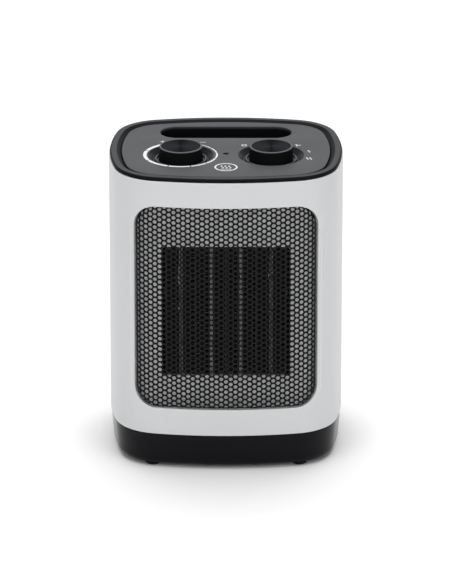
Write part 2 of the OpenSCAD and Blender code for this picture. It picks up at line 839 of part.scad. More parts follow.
module motor_screws() {
    y1 = bracket_y1 + bracket_t;
    color([0.55, 0.55, 0.57]) translate([0, 0, fan_z]) for (x = [-1, 1]) translate([x * motor_screw_x, 0, 0])
        difference() {
            union() {
                rod_y(1.9, ring_y1 + 0.5, y1);
                rod_y(3.4, y1, y1 + 2.4);
            }
            translate([0, y1 + 2.4, 0]) rotate([90, 0, 0]) cross_slot();
        }
}

module motor_rotor() {
    color([0.5, 0.5, 0.52]) translate([0, 0, fan_z]) difference() {
        union() {
            rod_y(rotor_d / 2, stator_y0, stator_y1);
            rod_y(rotor_d / 2 - 4, stator_y0 - 1.2, stator_y1 + 1.2);
        }
        rod_y(motor_shaft_d / 2, stator_y0 - 2, stator_y1 + 2);
    }
}

module motor_shaft() {
    color([0.75, 0.76, 0.78]) translate([0, 0, fan_z])
        rod_y(motor_shaft_d / 2, fan_y0 + 6, bracket_y1 + bracket_t + 4);
}

module fan_impeller() {
    hub_r = 17;
    tip_r = fan_d / 2 - fan_gap;
    color([0.2, 0.2, 0.21]) translate([0, 0, fan_z]) difference() {
        union() {
            difference() {
                rod_y(hub_r, fan_y0 + 2, fan_y1 - 2);
                rod_y(hub_r - 2, fan_y0 + 4, fan_y1);
            }
            rod_y(5.5, fan_y0 + 2, fan_y1 - 2);
            intersection() {
                for (i = [0:blade_count - 1]) rotate([0, i * 360 / blade_count, 0]) rotate([0, 0, -32])
                    block([-14, -1, hub_r - 1.5], [14, 1, tip_r + 5]);
                difference() {
                    rod_y(tip_r, fan_y0, fan_y1);
                    rod_y(hub_r - 1, fan_y0 - 1, fan_y1 + 1);
                }
            }
        }
        rod_y(motor_shaft_d / 2, fan_y0 + 6, fan_y1);
    }
}

// ---- Top: rim, panel, handle well ----

rim_in = 0.9;
rim_inner = 9.6;
panel_in = 10.4;
ledge_in = 17;
ledge_z = panel_low - 2;

module top_rim() {
    color([0.12, 0.12, 0.13]) difference() {
        union() {
            body_ring(ledge_z, panel_low, casing_wall + seat_gap, ledge_in - casing_wall - seat_gap);
            body_ring(panel_low, casing_top, casing_wall + seat_gap, rim_inner - casing_wall - seat_gap);
            body_ring(casing_top, rim_top - 0.6, rim_in, rim_inner - rim_in);
            body_ring(rim_top - 0.6, rim_top, rim_in + 0.6, rim_inner - rim_in - 3);
        }
        at_panel_screws() translate([0, 0, ledge_z - 1]) cylinder(h = 4, r = screw_r + 0.2);
    }
}

// Places of the panel's screws, on the ledge
module at_panel_screws() {
    out = corner_r - 13.6;
    for (side = [-1, 1], x = [-1, 1])
        translate([x * (corner_x + out * cos(45)), side * (corner_y + out * sin(45)), 0]) children();
}

module panel_screws() {
    color([0.55, 0.55, 0.57]) at_panel_screws() difference() {
        union() {
            translate([0, 0, ledge_z - 2.4]) cylinder(h = 2.4, r = 3);
            translate([0, 0, ledge_z]) cylinder(h = panel_low + 1.4 - ledge_z, r = screw_r);
        }
        translate([0, 0, ledge_z - 2.4]) cross_slot();
    }
}

module control_panel() {
    cup_z = recess_z - recess_floor;
    color([0.36, 0.36, 0.38]) difference() {
        union() {
            body_solid(panel_low, panel_top, panel_in);
            for (side = [-1, 1]) at_dial(side)
                translate([0, 0, cup_z]) cylinder(h = panel_top - cup_z, r = dial_r + 1);
        }
        for (side = [-1, 1]) at_dial(side) {
            translate([0, 0, recess_z]) cylinder(h = dial_depth, r1 = recess_foot_r, r2 = dial_r);
            translate([0, 0, panel_top - tiny]) cylinder(h = 1, r = dial_r);
            translate([0, 0, cup_z - 1]) cylinder(h = recess_floor + 2, r = neck_r + 0.1);
        }
        translate([0, slot_y, panel_low - 1]) linear_extrude(panel_t + 2) stadium(slot_l, slot_w);
        translate([0, lens_y, panel_low - 1]) cylinder(h = panel_t + 2, r = lens_r + 0.1);
        at_panel_screws() translate([0, 0, panel_low - 1]) cylinder(h = 2.6, r = screw_r + pilot_gap);
    }
}

module handle_well() {
    z0 = panel_low - well_depth;
    color([0.05, 0.05, 0.06]) difference() {
        union() {
            translate([0, slot_y, z0]) linear_extrude(well_depth) stadium(slot_l + 3, slot_w + 3);
            translate([0, 0, ledge_z]) linear_extrude(2) intersection() {
                translate([0, slot_y]) stadium(slot_l + 9, slot_w + 7);
                outline(ledge_in + seat_gap);
            }
        }
        translate([0, slot_y, z0 + 2]) linear_extrude(well_depth) stadium(slot_l - 1, slot_w - 1);
    }
}

module knob_collars() {
    color([0.35, 0.35, 0.37]) for (side = [-1, 1]) at_dial(side) translate([0, 0, recess_z]) difference() {
        union() {
            cylinder(h = 2, r = knob_r + 3.3);
            translate([0, 0, 2]) cylinder(h = 0.6, r1 = knob_r + 3.3, r2 = knob_r + 2.7);
        }
        translate([0, 0, -1]) cylinder(h = 5, r = knob_r + 1.5);
    }
}

// ---- Controls ----

neck_top = recess_z + 3.2;
shaft_top = knob_top - 3;
knob_hollow = knob_top - 6.6;
control_top = recess_z - recess_floor;

// Housing of a control under the panel, w by d by h, with a threaded neck
module control_body(w, d, h) {
    difference() {
        union() {
            block([-w / 2, -d / 2, control_top - h], [w / 2, d / 2, control_top]);
            translate([0, 0, control_top - tiny]) cylinder(h = neck_top - control_top + tiny, r = neck_r);
        }
        translate([0, 0, control_top - h + 3]) cylinder(h = h + 10, r = control_shaft_d / 2 + run_gap);
    }
}

module control_nut() {
    translate([0, 0, recess_z]) difference() {
        cylinder(h = 2.2, r = neck_r + 2.6, $fn = 6);
        translate([0, 0, -1]) cylinder(h = 5, r = neck_r);
    }
}

module control_shaft(h) {
    translate([0, 0, control_top - h + 3.5])
        cylinder(h = shaft_top - control_top + h - 3.5, r = control_shaft_d / 2);
}

// Knob with a recess for its cap, a hollow foot and a pointer rib at the angle a
module knob(a) {
    difference() {
        union() {
            translate([0, 0, knob_z]) cylinder(h = knob_top - 0.6 - knob_z, r1 = knob_r, r2 = knob_top_r);
            translate([0, 0, knob_top - 0.6]) cylinder(h = 0.6, r1 = knob_top_r, r2 = knob_top_r - 0.6);
            rotate([0, 0, a]) block([knob_top_r - 2, -0.8, knob_top - 6], [knob_r - 0.1, 0.8, knob_top - 1]);
        }
        translate([0, 0, knob_top - 0.9]) cylinder(h = 2, r = cap_r);
        translate([0, 0, knob_z - 1]) cylinder(h = knob_hollow - knob_z + 1, r = 12.5);
        translate([0, 0, knob_z - 1]) cylinder(h = shaft_top - knob_z + 1, r = control_shaft_d / 2);
    }
}

module knob_cap() {
    translate([0, 0, knob_top - 0.9]) cylinder(h = 0.6, r = cap_r);
    translate([0, 0, knob_top - 0.3]) cylinder(h = 0.2, r1 = cap_r, r2 = cap_r - 0.2);
}

thermostat_h = 14;
mode_h = 18;
pointer_min = 60;
pointer_off = 133;

module thermostat_body() {
    color([0.7, 0.68, 0.62]) at_dial(-1) control_body(26, 32, thermostat_h);
}

module thermostat_nut() {
    color([0.7, 0.7, 0.72]) at_dial(-1) control_nut();
}

module thermostat_shaft() {
    color([0.75, 0.75, 0.77]) at_dial(-1) control_shaft(thermostat_h);
}

module thermostat_knob() {
    color([0.08, 0.08, 0.09]) at_dial(-1) knob(pointer_min);
}

module thermostat_knob_cap() {
    color([0.4, 0.4, 0.42]) at_dial(-1) knob_cap();
}

module mode_switch_body() {
    color([0.8, 0.78, 0.72]) at_dial(1) control_body(30, 28, mode_h);
}

module mode_switch_nut() {
    color([0.7, 0.7, 0.72]) at_dial(1) control_nut();
}

module mode_shaft() {
    color([0.75, 0.75, 0.77]) at_dial(1) control_shaft(mode_h);
}

module mode_knob() {
    color([0.08, 0.08, 0.09]) at_dial(1) knob(pointer_off);
}

module mode_knob_cap() {
    color([0.4, 0.4, 0.42]) at_dial(1) knob_cap();
}

module indicator_lens() {
    color([0.5, 0.06, 0.05]) translate([0, lens_y, 0]) {
        translate([0, 0, panel_low - 1]) cylinder(h = panel_t + 0.8, r = lens_r);
        translate([0, 0, panel_low - 2.2]) cylinder(h = 2.2, r = lens_r + 1.2);
    }
}

module indicator_lamp() {
    color([0.9, 0.6, 0.4]) translate([0, lens_y, panel_low - 14.2]) {
        cylinder(h = 10, r = 2.6);
        translate([0, 0, 10]) cylinder(h = 2, r1 = 2.6, r2 = 1);
    }
}

base_tray();
rubber_feet();
base_screws();
cord_gland();
terminal_block();
tip_switch_body();
tip_plunger();
tip_spring();
front_casing();
rear_casing();
casing_screws();
rear_intake_grille();
front_grille();
outlet_frame();
outlet_screws();
heater_tubes();
heater_stones();
heater_fins();
heater_plates();
heater_top_holder();
heater_bottom_holder();
heater_terminals();
thermal_cutoff();
thermal_fuse();
air_duct();
duct_screws();
motor_mount();
motor_front_bracket();
motor_rear_bracket();
motor_bushes();
motor_stator();
motor_coil();
motor_screws();
motor_rotor();
motor_shaft();
fan_impeller();
top_rim();
control_panel();
panel_screws();
handle_well();
knob_collars();
thermostat_body();
thermostat_nut();
thermostat_shaft();
thermostat_knob();
thermostat_knob_cap();
mode_switch_body();
mode_switch_nut();
mode_shaft();
mode_knob();
mode_knob_cap();
indicator_lens();
indicator_lamp();
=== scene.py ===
"""Ceramic space heater: the visible shells, grilles, dials and finishes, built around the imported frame.

Every length is in metres. The front of the heater faces -Y, +X is to the right seen from the front and
+Z is up. New pieces are numpy surfaces: profiles carried round the casing's outline, lathed profiles and
grids laid on the curved front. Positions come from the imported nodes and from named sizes.
"""

import json
import logging
import math
from dataclasses import dataclass, field, fields
from enum import Enum
from typing import Callable, Mapping, Sequence

import bmesh
import bpy
import numpy as np
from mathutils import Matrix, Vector
from mathutils.geometry import delaunay_2d_cdt


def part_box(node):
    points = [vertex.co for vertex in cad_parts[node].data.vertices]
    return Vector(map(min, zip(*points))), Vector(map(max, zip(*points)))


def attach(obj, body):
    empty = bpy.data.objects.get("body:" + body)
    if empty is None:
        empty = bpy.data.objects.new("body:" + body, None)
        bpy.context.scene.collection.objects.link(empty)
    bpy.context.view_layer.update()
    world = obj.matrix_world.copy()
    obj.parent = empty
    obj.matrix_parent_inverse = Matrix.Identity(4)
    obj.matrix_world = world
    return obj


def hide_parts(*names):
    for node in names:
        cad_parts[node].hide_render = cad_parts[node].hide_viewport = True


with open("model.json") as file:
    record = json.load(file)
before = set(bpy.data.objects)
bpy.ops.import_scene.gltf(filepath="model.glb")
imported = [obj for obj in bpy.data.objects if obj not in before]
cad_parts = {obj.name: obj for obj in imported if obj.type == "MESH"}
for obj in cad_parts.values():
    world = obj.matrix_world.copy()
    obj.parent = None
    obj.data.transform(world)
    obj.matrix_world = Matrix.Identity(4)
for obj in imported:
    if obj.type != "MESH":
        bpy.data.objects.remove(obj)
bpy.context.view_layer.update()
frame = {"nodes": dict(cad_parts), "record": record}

Array = np.ndarray
Inputs = Mapping[int | str, object]
log = logging.getLogger("heater")

MM = 0.001
SCREW_HEAD = 3.4 * MM


# ---------------------------------------------------------------------------
# Meshes
# ---------------------------------------------------------------------------


def grid_quads(rows: int, cols: int, round_rows: bool = False, round_cols: bool = False) -> Array:
    """Faces of a grid of points numbered row by row.

    Args:
        rows: Number of rows of points.
        cols: Number of points in a row.
        round_rows: Whether the last row joins the first.
        round_cols: Whether the last point of a row joins its first.

    Returns:
        An (n, 4) array of vertex numbers.
    """
    i = np.arange(rows if round_rows else rows - 1)[:, None]
    j = np.arange(cols if round_cols else cols - 1)[None, :]
    i1, j1 = (i + 1) % rows, (j + 1) % cols
    corners = np.broadcast_arrays(i * cols + j, i * cols + j1, i1 * cols + j1, i1 * cols + j)
    return np.stack(corners, -1).reshape(-1, 4)


class Skin:
    """Collects the patches of one piece and turns them into a mesh object."""

    def __init__(self) -> None:
        """Starts with no patches."""
        self.points: list[Array] = []
        self.faces: list[Array] = []
        self.count = 0

    def add(self, points: Array, faces: Array) -> None:
        """Adds points of shape (..., 3) and faces that number them from zero."""
        flat = np.asarray(points, float).reshape(-1, 3)
        self.points.append(flat)
        self.faces.append(np.asarray(faces) + self.count)
        self.count += len(flat)

    def grid(self, points: Array, round_rows: bool = False, round_cols: bool = False) -> None:
        """Adds a (rows, cols, 3) grid of points as quads."""
        rows, cols = points.shape[:2]
        self.add(points, grid_quads(rows, cols, round_rows, round_cols))

    def fan(self, ring: Array, tip: Array) -> None:
        """Closes a ring of points, of shape (n, 3), with triangles to one point."""
        n = len(ring)
        i = np.arange(n)
        self.add(np.vstack([ring, np.reshape(tip, (1, 3))]), np.stack([i, (i + 1) % n, np.full(n, n)], -1))

    def piece(self, name: str, sharp: float = 32.0, closed: bool = True) -> bpy.types.Object:
        """Makes the mesh object: joints are merged and the faces turned outwards.

        Args:
            name: Name of the piece.
            sharp: Edges that bend by more than this many degrees stay sharp.
            closed: Whether the patches enclose a solid, so that outwards is known.

        Returns:
            The new object, at the origin.
        """
        mesh = bpy.data.meshes.new(name)
        faces = [tuple(f) for part in self.faces for f in part.tolist()]
        mesh.from_pydata(np.vstack(self.points).tolist(), [], faces)
        work = bmesh.new()
        work.from_mesh(mesh)
        bmesh.ops.remove_doubles(work, verts=work.verts, dist=2e-6)
        bmesh.ops.dissolve_degenerate(work, dist=1e-7, edges=work.edges)
        if closed:
            bmesh.ops.recalc_face_normals(work, faces=work.faces)
        work.to_mesh(mesh)
        work.free()
        mesh.shade_smooth()
        mesh.set_sharp_from_angle(angle=math.radians(sharp))
        made = bpy.data.objects.new(name, mesh)
        bpy.context.scene.collection.objects.link(made)
        return made


def turn_faces(piece: bpy.types.Object, along: Vector | None = None) -> None:
    """Makes an open skin's faces agree, and turns them all to one side.

    Args:
        piece: The piece.
        along: Where most of the area is to face, or None for away from the skin's middle.
    """
    work = bmesh.new()
    work.from_mesh(piece.data)
    bmesh.ops.recalc_face_normals(work, faces=work.faces)
    middle = sum((v.co for v in work.verts), Vector()) / len(work.verts)
    facing = sum((along or (f.calc_center_median() - middle).normalized()).dot(f.normal) * f.calc_area()
                 for f in work.faces)
    if facing < 0:
        bmesh.ops.reverse_faces(work, faces=work.faces)
    work.to_mesh(piece.data)
    work.free()


def level_loop(loop: Array, z: float) -> Array:
    """Points (x, y, z) of an (x, y) loop at one height."""
    return np.column_stack([loop, np.full(len(loop), z)])


def upright_loop(loop: Array, y: Array | float) -> Array:
    """Points (x, y, z) of an (x, z) loop at one depth, or at a depth for each point."""
    return np.column_stack([loop[:, 0], np.broadcast_to(y, len(loop)), loop[:, 1]])


def thicken(piece: bpy.types.Object, wall: float) -> None:
    """Gives an open skin a wall of that thickness behind its faces, as a live Solidify modifier."""
    solid = piece.modifiers.new("wall", "SOLIDIFY")
    solid.thickness = wall
    solid.offset = -1.0
    solid.use_rim = True


def quarter(n: int) -> tuple[Array, Array]:
    """Sines and cosines of n + 1 even steps of a quarter turn."""
    a = np.linspace(0, math.pi / 2, n + 1)
    return np.sin(a), np.cos(a)


def lathe(skin: Skin, centre: Sequence[float], profile: Array, steps: int = 96,
          wave: Array | None = None) -> None:
    """Adds a profile turned about an upright axis: point = centre + (r cos t, r sin t, z).

    Args:
        skin: Where the surface goes.
        centre: X and Y of the axis.
        profile: Rows of (r, z). Where r is zero at an end, that end closes in a point.
        steps: Points round the axis.
        wave: Optional radius offset for each row and step, added to r.
    """
    profile = np.asarray(profile, float)
    turn = np.linspace(0, 2 * math.pi, steps, endpoint=False)
    r = profile[:, :1] + (wave if wave is not None else 0)
    ring = np.stack([centre[0] + r * np.cos(turn), centre[1] + r * np.sin(turn),
                     np.broadcast_to(profile[:, 1:2], (len(profile), steps))], -1)
    first = 1 if profile[0, 0] == 0 else 0
    last = len(profile) - 1 if profile[-1, 0] == 0 else len(profile)
    skin.grid(ring[first:last], round_cols=True)
    if first:
        skin.fan(ring[1], [centre[0], centre[1], profile[0, 1]])
    if last < len(profile):
        skin.fan(ring[last - 1], [centre[0], centre[1], profile[-1, 1]])


def inside(points: Array, loop: Array) -> Array:
    """Which (n, 2) points lie inside a closed loop, by counting crossings of a ray along +X."""
    a, b = loop, np.roll(loop, -1, 0)
    px, py = points[:, :1], points[:, 1:2]
    spans = (a[:, 1] > py) != (b[:, 1] > py)
    rise = np.where(b[:, 1] == a[:, 1], 1e-12, b[:, 1] - a[:, 1])
    return (spans & (px < a[:, 0] + (py - a[:, 1]) * (b[:, 0] - a[:, 0]) / rise)).sum(1) % 2 == 1


def flat_sheet(skin: Skin, z: float, rim: Array, holes: Sequence[Array]) -> None:
    """Adds a level sheet that fills the loop rim and leaves each hole open, as triangles."""
    loops = [rim, *holes]
    points = np.vstack(loops)
    starts = np.cumsum([0] + [len(loop) for loop in loops])
    edges = [(int(s + i), int(s + (i + 1) % len(loop)))
             for s, loop in zip(starts, loops) for i in range(len(loop))]
    found, _, faces, *_ = delaunay_2d_cdt([Vector(p) for p in points], edges, [], 0, 1e-9)
    found = np.array([tuple(p) for p in found])
    faces = np.array([f for f in faces if len(f) == 3])
    middle = found[faces].mean(1)
    keep = inside(middle, rim)
    for hole in holes:
        keep &= ~inside(middle, hole)
    faces = faces[keep]
    a, b, c = (found[faces[:, k]] for k in range(3))
    turned = (b[:, 0] - a[:, 0]) * (c[:, 1] - a[:, 1]) < (b[:, 1] - a[:, 1]) * (c[:, 0] - a[:, 0])
    faces[turned] = faces[turned][:, ::-1]
    skin.add(np.column_stack([found, np.full(len(found), z)]), faces)


# ---------------------------------------------------------------------------
# The casing's outline and the shapes cut in it
# ---------------------------------------------------------------------------


@dataclass(frozen=True)
class Outline:
    """Plan of the casing: four large arcs joined by four tangent corner arcs.

    A place on it is a length s along it from the middle of the front, positive to the right. Stepping in
    by an inset keeps every arc's centre and takes the inset off its radius.
    """

    width: float
    depth: float
    face_r: float = 300 * MM
    side_r: float = 185 * MM
    corner_r: float = 40 * MM

    def arcs(self) -> Array:
        """Right half, front to back: rows of (centre x, centre y, radius, start angle, start length)."""
        face_c, side_c = self.face_r - self.depth / 2, self.side_r - self.width / 2
        f, s = self.face_r - self.corner_r, self.side_r - self.corner_r
        span = math.hypot(face_c, side_c)
        along = (f * f - s * s + span * span) / (2 * span)
        across = math.sqrt(f * f - along * along)
        cx = (face_c * across - side_c * along) / span
        cy = (side_c * across + face_c * along) / span - face_c
        face_a, side_a = math.atan2(cx, face_c + cy), math.atan2(cy, side_c + cx)
        right = math.pi / 2
        corner_a = right - face_a - side_a
        rows = [(0, face_c, self.face_r, -right, face_a),
                (cx, -cy, self.corner_r, face_a - right, corner_a),
                (-side_c, 0, self.side_r, -side_a, 2 * side_a),
                (cx, cy, self.corner_r, side_a, corner_a),
                (0, -face_c, self.face_r, right - face_a, face_a)]
        lengths = np.cumsum([0] + [r[2] * r[4] for r in rows])
        return np.array([(x, y, r, a, s0) for (x, y, r, a, _), s0 in zip(rows, lengths)])

    def half_length(self) -> float:
        """Length from the middle of the front to the middle of the back."""
        x, y, r, a, s0 = self.arcs()[-1]
        return float(s0 + r * (math.pi / 2 - a))

    def place(self, s: Array, inset: Array | float, z: Array | float, back: bool = False) -> Array:
        """Point at length s, stepped in by inset, at height z: arc centre + (radius - inset) x direction.

        Args:
            s: Lengths from the middle of the front, or of the back where back is set.
            inset: Step in from the outline.
            z: Heights.
            back: Whether lengths start at the middle of the back, which mirrors the front.

        Returns:
            Points of shape (..., 3).
        """
        s, inset, z = np.broadcast_arrays(np.asarray(s, float), inset, z)
        arcs = self.arcs()
        side = np.where(s < 0, -1.0, 1.0)
        row = arcs[np.clip(np.searchsorted(arcs[:, 4], np.abs(s), "right") - 1, 0, len(arcs) - 1)]
        a = row[..., 3] + (np.abs(s) - row[..., 4]) / row[..., 2]
        r = row[..., 2] - inset
        y = row[..., 1] + r * np.sin(a)
        return np.stack([side * (row[..., 0] + r * np.cos(a)), -y if back else y, z], -1)

    def loop(self, inset: float, count: int = 480) -> Array:
        """Closed (count, 2) loop round the outline at that inset."""
        half = self.half_length()
        return self.place(np.linspace(-half, half, count, endpoint=False), inset, 0.0)[:, :2]

    def at_x(self, x: Array) -> Array:
        """Length at which the front has that x, by interpolation along the front and its corners."""
        arcs = self.arcs()
        s = np.linspace(-arcs[2, 4], arcs[2, 4], 4001)
        return np.interp(x, self.place(s, 0, 0)[:, 0], s)

    def at_seam(self, y: float) -> float:
        """Length from the middle of the front to the height y on the side arc."""
        _, _, r, a, s0 = self.arcs()[2]
        return float(s0 + r * (math.asin(y / r) - a))


def sweep(skin: Skin, plan: Outline, profile: Array, closed: bool = True, count: int = 480) -> None:
    """Adds a profile of (inset, z) rows carried once round the outline."""
    half = plan.half_length()
    s = np.linspace(-half, half, count, endpoint=False)
    profile = np.asarray(profile, float)
    skin.grid(plan.place(s[None, :], profile[:, :1], profile[:, 1:2]), round_rows=closed, round_cols=True)


@dataclass(frozen=True)
class RoundRect:
    """A rectangle with round corners, centred on (0, mid) in the plane of x and z."""

    half_w: float
    half_h: float
    corner: float
    mid: float

    def ray(self, angle: Array, grow: float = 0.0) -> Array:
        """Where rays from the middle cross the outline grown by grow.

        Each angle is spread over the rectangle's own proportions. A ray meets a straight side at
        half size / direction, and past the straight part it meets the corner circle, whose distance t
        solves |t d - c| = r.

        Args:
            angle: Angles of the rays in a square of unit half size.
            grow: Offset of the outline, outwards.

        Returns:
            (n, 2) points of x and z.
        """
        a, b, r = self.half_w + grow, self.half_h + grow, self.corner + grow
        d = np.stack([np.cos(angle) * self.half_w, np.sin(angle) * self.half_h], -1)
        d /= np.linalg.norm(d, axis=-1, keepdims=True)
        size = np.maximum(np.abs(d), 1e-12)
        t = np.minimum(a / size[..., 0], b / size[..., 1])
        c = np.array([a - r, b - r])
        along = size @ c
        bend = along + np.sqrt(np.maximum(along ** 2 - c @ c + r * r, 0))
        in_corner = np.all(t[..., None] * size > c, -1)
        return d * np.where(in_corner, bend, t)[..., None] + [0, self.mid]

    def depth(self, x: Array, z: Array) -> tuple[Array, Array, Array]:
        """Distance inside the outline, and the outward direction (x, z) of the nearest edge."""
        qx = np.abs(x) - (self.half_w - self.corner)
        qz = np.abs(z - self.mid) - (self.half_h - self.corner)
        both = (qx > 0) & (qz > 0)
        far = np.hypot(np.maximum(qx, 0), np.maximum(qz, 0))
        dist = np.where(both, far, np.maximum(qx, qz)) - self.corner
        nx = np.where(both, qx / np.maximum(far, 1e-9), (qx >= qz) * 1.0)
        nz = np.where(both, qz / np.maximum(far, 1e-9), (qx < qz) * 1.0)
        return -dist, nx * np.sign(x), nz * np.sign(z - self.mid)


def rect_rim(s: Array, z: Array) -> Array:
    """Loop of points round a rectangle, anticlockwise from its lowest s and z."""
    return np.concatenate([
        np.column_stack([s[:-1], np.full(len(s) - 1, z[0])]),
        np.column_stack([np.full(len(z) - 1, s[-1]), z[:-1]]),
        np.column_stack([s[:0:-1], np.full(len(s) - 1, z[-1])]),
        np.column_stack([np.full(len(z) - 1, s[0]), z[:0:-1]])])


def steps_between(low: float, high: float, pitch: float) -> Array:
    """Even steps from low to high, none longer than pitch."""
    return np.linspace(low, high, max(2, int(math.ceil((high - low) / pitch)) + 1))


# ---------------------------------------------------------------------------
# Materials
# ---------------------------------------------------------------------------


class Wire:
    """The output of a node, with arithmetic that adds Math nodes."""

    def __init__(self, graph: "Graph", socket: bpy.types.NodeSocket) -> None:
        """Keeps the graph and the socket."""
        self.graph, self.socket = graph, socket

    def math(self, operation: str, *others: object) -> "Wire":
        """Math node of that operation on this value and the others."""
        values: dict[int | str, object] = {0: self}
        values.update({i + 1: other for i, other in enumerate(others)})
        return self.graph.node("ShaderNodeMath", {"operation": operation}, values)

    def __add__(self, other: object) -> "Wire":
        """This + other."""
        return self.math("ADD", other)

    def __mul__(self, other: object) -> "Wire":
        """This x other."""
        return self.math("MULTIPLY", other)

    def __sub__(self, other: object) -> "Wire":
        """This - other."""
        return self.math("SUBTRACT", other)

    def __rsub__(self, other: object) -> "Wire":
        """Other - this."""
        return self.graph.node("ShaderNodeMath", {"operation": "SUBTRACT"}, {0: other, 1: self})

    def __truediv__(self, other: object) -> "Wire":
        """This / other."""
        return self.math("DIVIDE", other)

    __radd__ = __add__
    __rmul__ = __mul__


class Graph:
    """The node tree of a material or of the surround."""

    def __init__(self, owner: bpy.types.Material | bpy.types.World,
                 shader: str = "Principled BSDF") -> None:
        """Takes the owner's tree and its shader, and adds the place on the piece."""
        self.tree = owner.node_tree
        self.shader = self.tree.nodes[shader]
        self.place = self.node("ShaderNodeTexCoord", output="Object")

    def node(self, kind: str, settings: Mapping[str, object] | None = None, inputs: Inputs | None = None,
             output: int | str = 0) -> Wire:
        """Adds a node.

        Args:
            kind: Its type.
            settings: Attributes to set first. "stops" sets a colour ramp's (position, grey) stops.
            inputs: Values or wires for its sockets, by number or name.
            output: Which output to return.

        Returns:
            The output as a wire.
        """
        made = self.tree.nodes.new(kind)
        for key, value in (settings or {}).items():
            if key == "stops":
                ramp = made.color_ramp
                while len(ramp.elements) < len(value):
                    ramp.elements.new(0.5)
                for element, (at, grey) in zip(ramp.elements, value):
                    element.position, element.color = at, (grey, grey, grey, 1)
            else:
                setattr(made, key, value)
        for key, value in (inputs or {}).items():
            if isinstance(value, Wire):
                self.tree.links.new(value.socket, made.inputs[key])
            else:
                made.inputs[key].default_value = value
        return Wire(self, made.outputs[output])

    def axes(self, vector: Wire | None = None) -> tuple[Wire, Wire, Wire]:
        """The x, y and z of a vector, or of the place on the piece."""
        split = self.node("ShaderNodeSeparateXYZ", None, {0: vector or self.place})
        node = split.socket.node
        return Wire(self, node.outputs[0]), Wire(self, node.outputs[1]), Wire(self, node.outputs[2])

    def noise(self, size: float, detail: float = 2.0, vector: Wire | None = None) -> Wire:
        """Noise whose grains are about size metres across, from 0 to 1."""
        return self.node("ShaderNodeTexNoise", None, {"Vector": vector or self.place, "Scale": 1 / size,
                                                      "Detail": detail, "Roughness": 0.55})

    def blend(self, share: Wire, low: Sequence[float], high: Sequence[float]) -> Wire:
        """Colour between low and high by share."""
        return self.node("ShaderNodeMix", {"data_type": "RGBA"},
                         {0: share, 6: (*low, 1), 7: (*high, 1)}, 2)

    def bump(self, height: Wire, depth: float, strength: float = 1.0) -> None:
        """Raises the surface by depth metres times height."""
        made = self.node("ShaderNodeBump", None, {"Height": height, "Distance": depth, "Strength": strength})
        self.tree.links.new(made.socket, self.shader.inputs["Normal"])

    def feed(self, **sockets: object) -> None:
        """Sets or links the shader's sockets; an underscore stands for a space."""
        for key, value in sockets.items():
            socket = self.shader.inputs[key.replace("_", " ")]
            if isinstance(value, Wire):
                self.tree.links.new(value.socket, socket)
            else:
                socket.default_value = value


def shade(colour: Sequence[float], factor: float) -> tuple[float, float, float]:
    """A colour made lighter or darker."""
    return tuple(min(1.0, c * factor) for c in colour)


@dataclass(frozen=True)
class Finish:
    """What every finish has: a colour and a roughness, both of which drift a little over the surface."""

    colour: tuple[float, float, float]
    roughness: float = 0.5
    drift: float = 0.04
    grain: float = 0.5 * MM
    depth: float = 0.01 * MM
    specular: float = 0.5

    def material(self, name: str) -> bpy.types.Material:
        """Makes the material of that name."""
        made = bpy.data.materials.new(name)
        made.use_nodes = True
        graph = Graph(made)
        graph.feed(Specular_IOR_Level=self.specular)
        self.paint(graph)
        return made

    def tint(self, graph: Graph, share: Wire) -> Wire:
        """The colour, made darker or lighter by the drift as share goes from 0 to 1."""
        return graph.blend(share, shade(self.colour, 1 - self.drift), shade(self.colour, 1 + self.drift))

    def paint(self, graph: Graph) -> None:
        """Colour and roughness that drift with slow noise, and fine grain as bump."""
        slow, fine = graph.noise(40 * MM), graph.noise(self.grain, 3.0)
        graph.feed(Base_Color=self.tint(graph, slow),
                   Roughness=slow * 0.08 + fine * 0.1 + (self.roughness - 0.09))
        graph.bump(fine, self.depth)


@dataclass(frozen=True)
class Moulded(Finish):
    """Moulded plastic with a spark-eroded grain, flow marks too faint to see as lines, and a soft gloss."""

    pits: float = 0.0

    def paint(self, graph: Graph) -> None:
        """Grain from two sizes of noise; a share of the grain's hollows is painted darker, a painted shade.
        """
        slow, fine = graph.noise(60 * MM), graph.noise(self.grain, 4.0)
        finer = graph.noise(self.grain * 0.4)
        hollow = graph.node("ShaderNodeValToRGB", {"stops": ((0.35, 0.0), (0.6, 1.0))}, {0: fine})
        tone = slow * (1 - self.pits) + hollow * self.pits
        graph.feed(Base_Color=self.tint(graph, tone),
                   Roughness=fine * 0.12 + slow * 0.05 + (self.roughness - 0.085))
        graph.bump(fine * 0.7 + finer * 0.3, self.depth)


@dataclass(frozen=True)
class Panel(Moulded):
    """Moulded panel whose two dial recesses are painted darker than its top: partly a darker plastic, partly
    painted shade in the recesses.
    """

    recess_r: float = 26.15 * MM
    recess_tone: float = 0.12
    dials: tuple[float, float, float] = (0.0, 0.0, 0.0)

    def paint(self, graph: Graph) -> None:
        """The share of the top's colour rises over half a millimetre at the edge of a recess; inside, the
        colour is painted dark, partly as painted shade.
        """
        super().paint(graph)
        x, y, _ = graph.axes()
        dx, dy = x.math("ABSOLUTE") - self.dials[0], y - self.dials[1]
        top = ((dx * dx + dy * dy).math("SQRT") - self.recess_r) / (0.5 * MM)
        share = top.math("MAXIMUM", 0.0).math("MINIMUM", 1.0)
        tone = share * (graph.noise(60 * MM) * 0.1 + 0.9)
        graph.feed(Base_Color=graph.blend(tone, shade(self.colour, self.recess_tone), self.colour),
                   Roughness=0.32 + share * (self.roughness - 0.32))


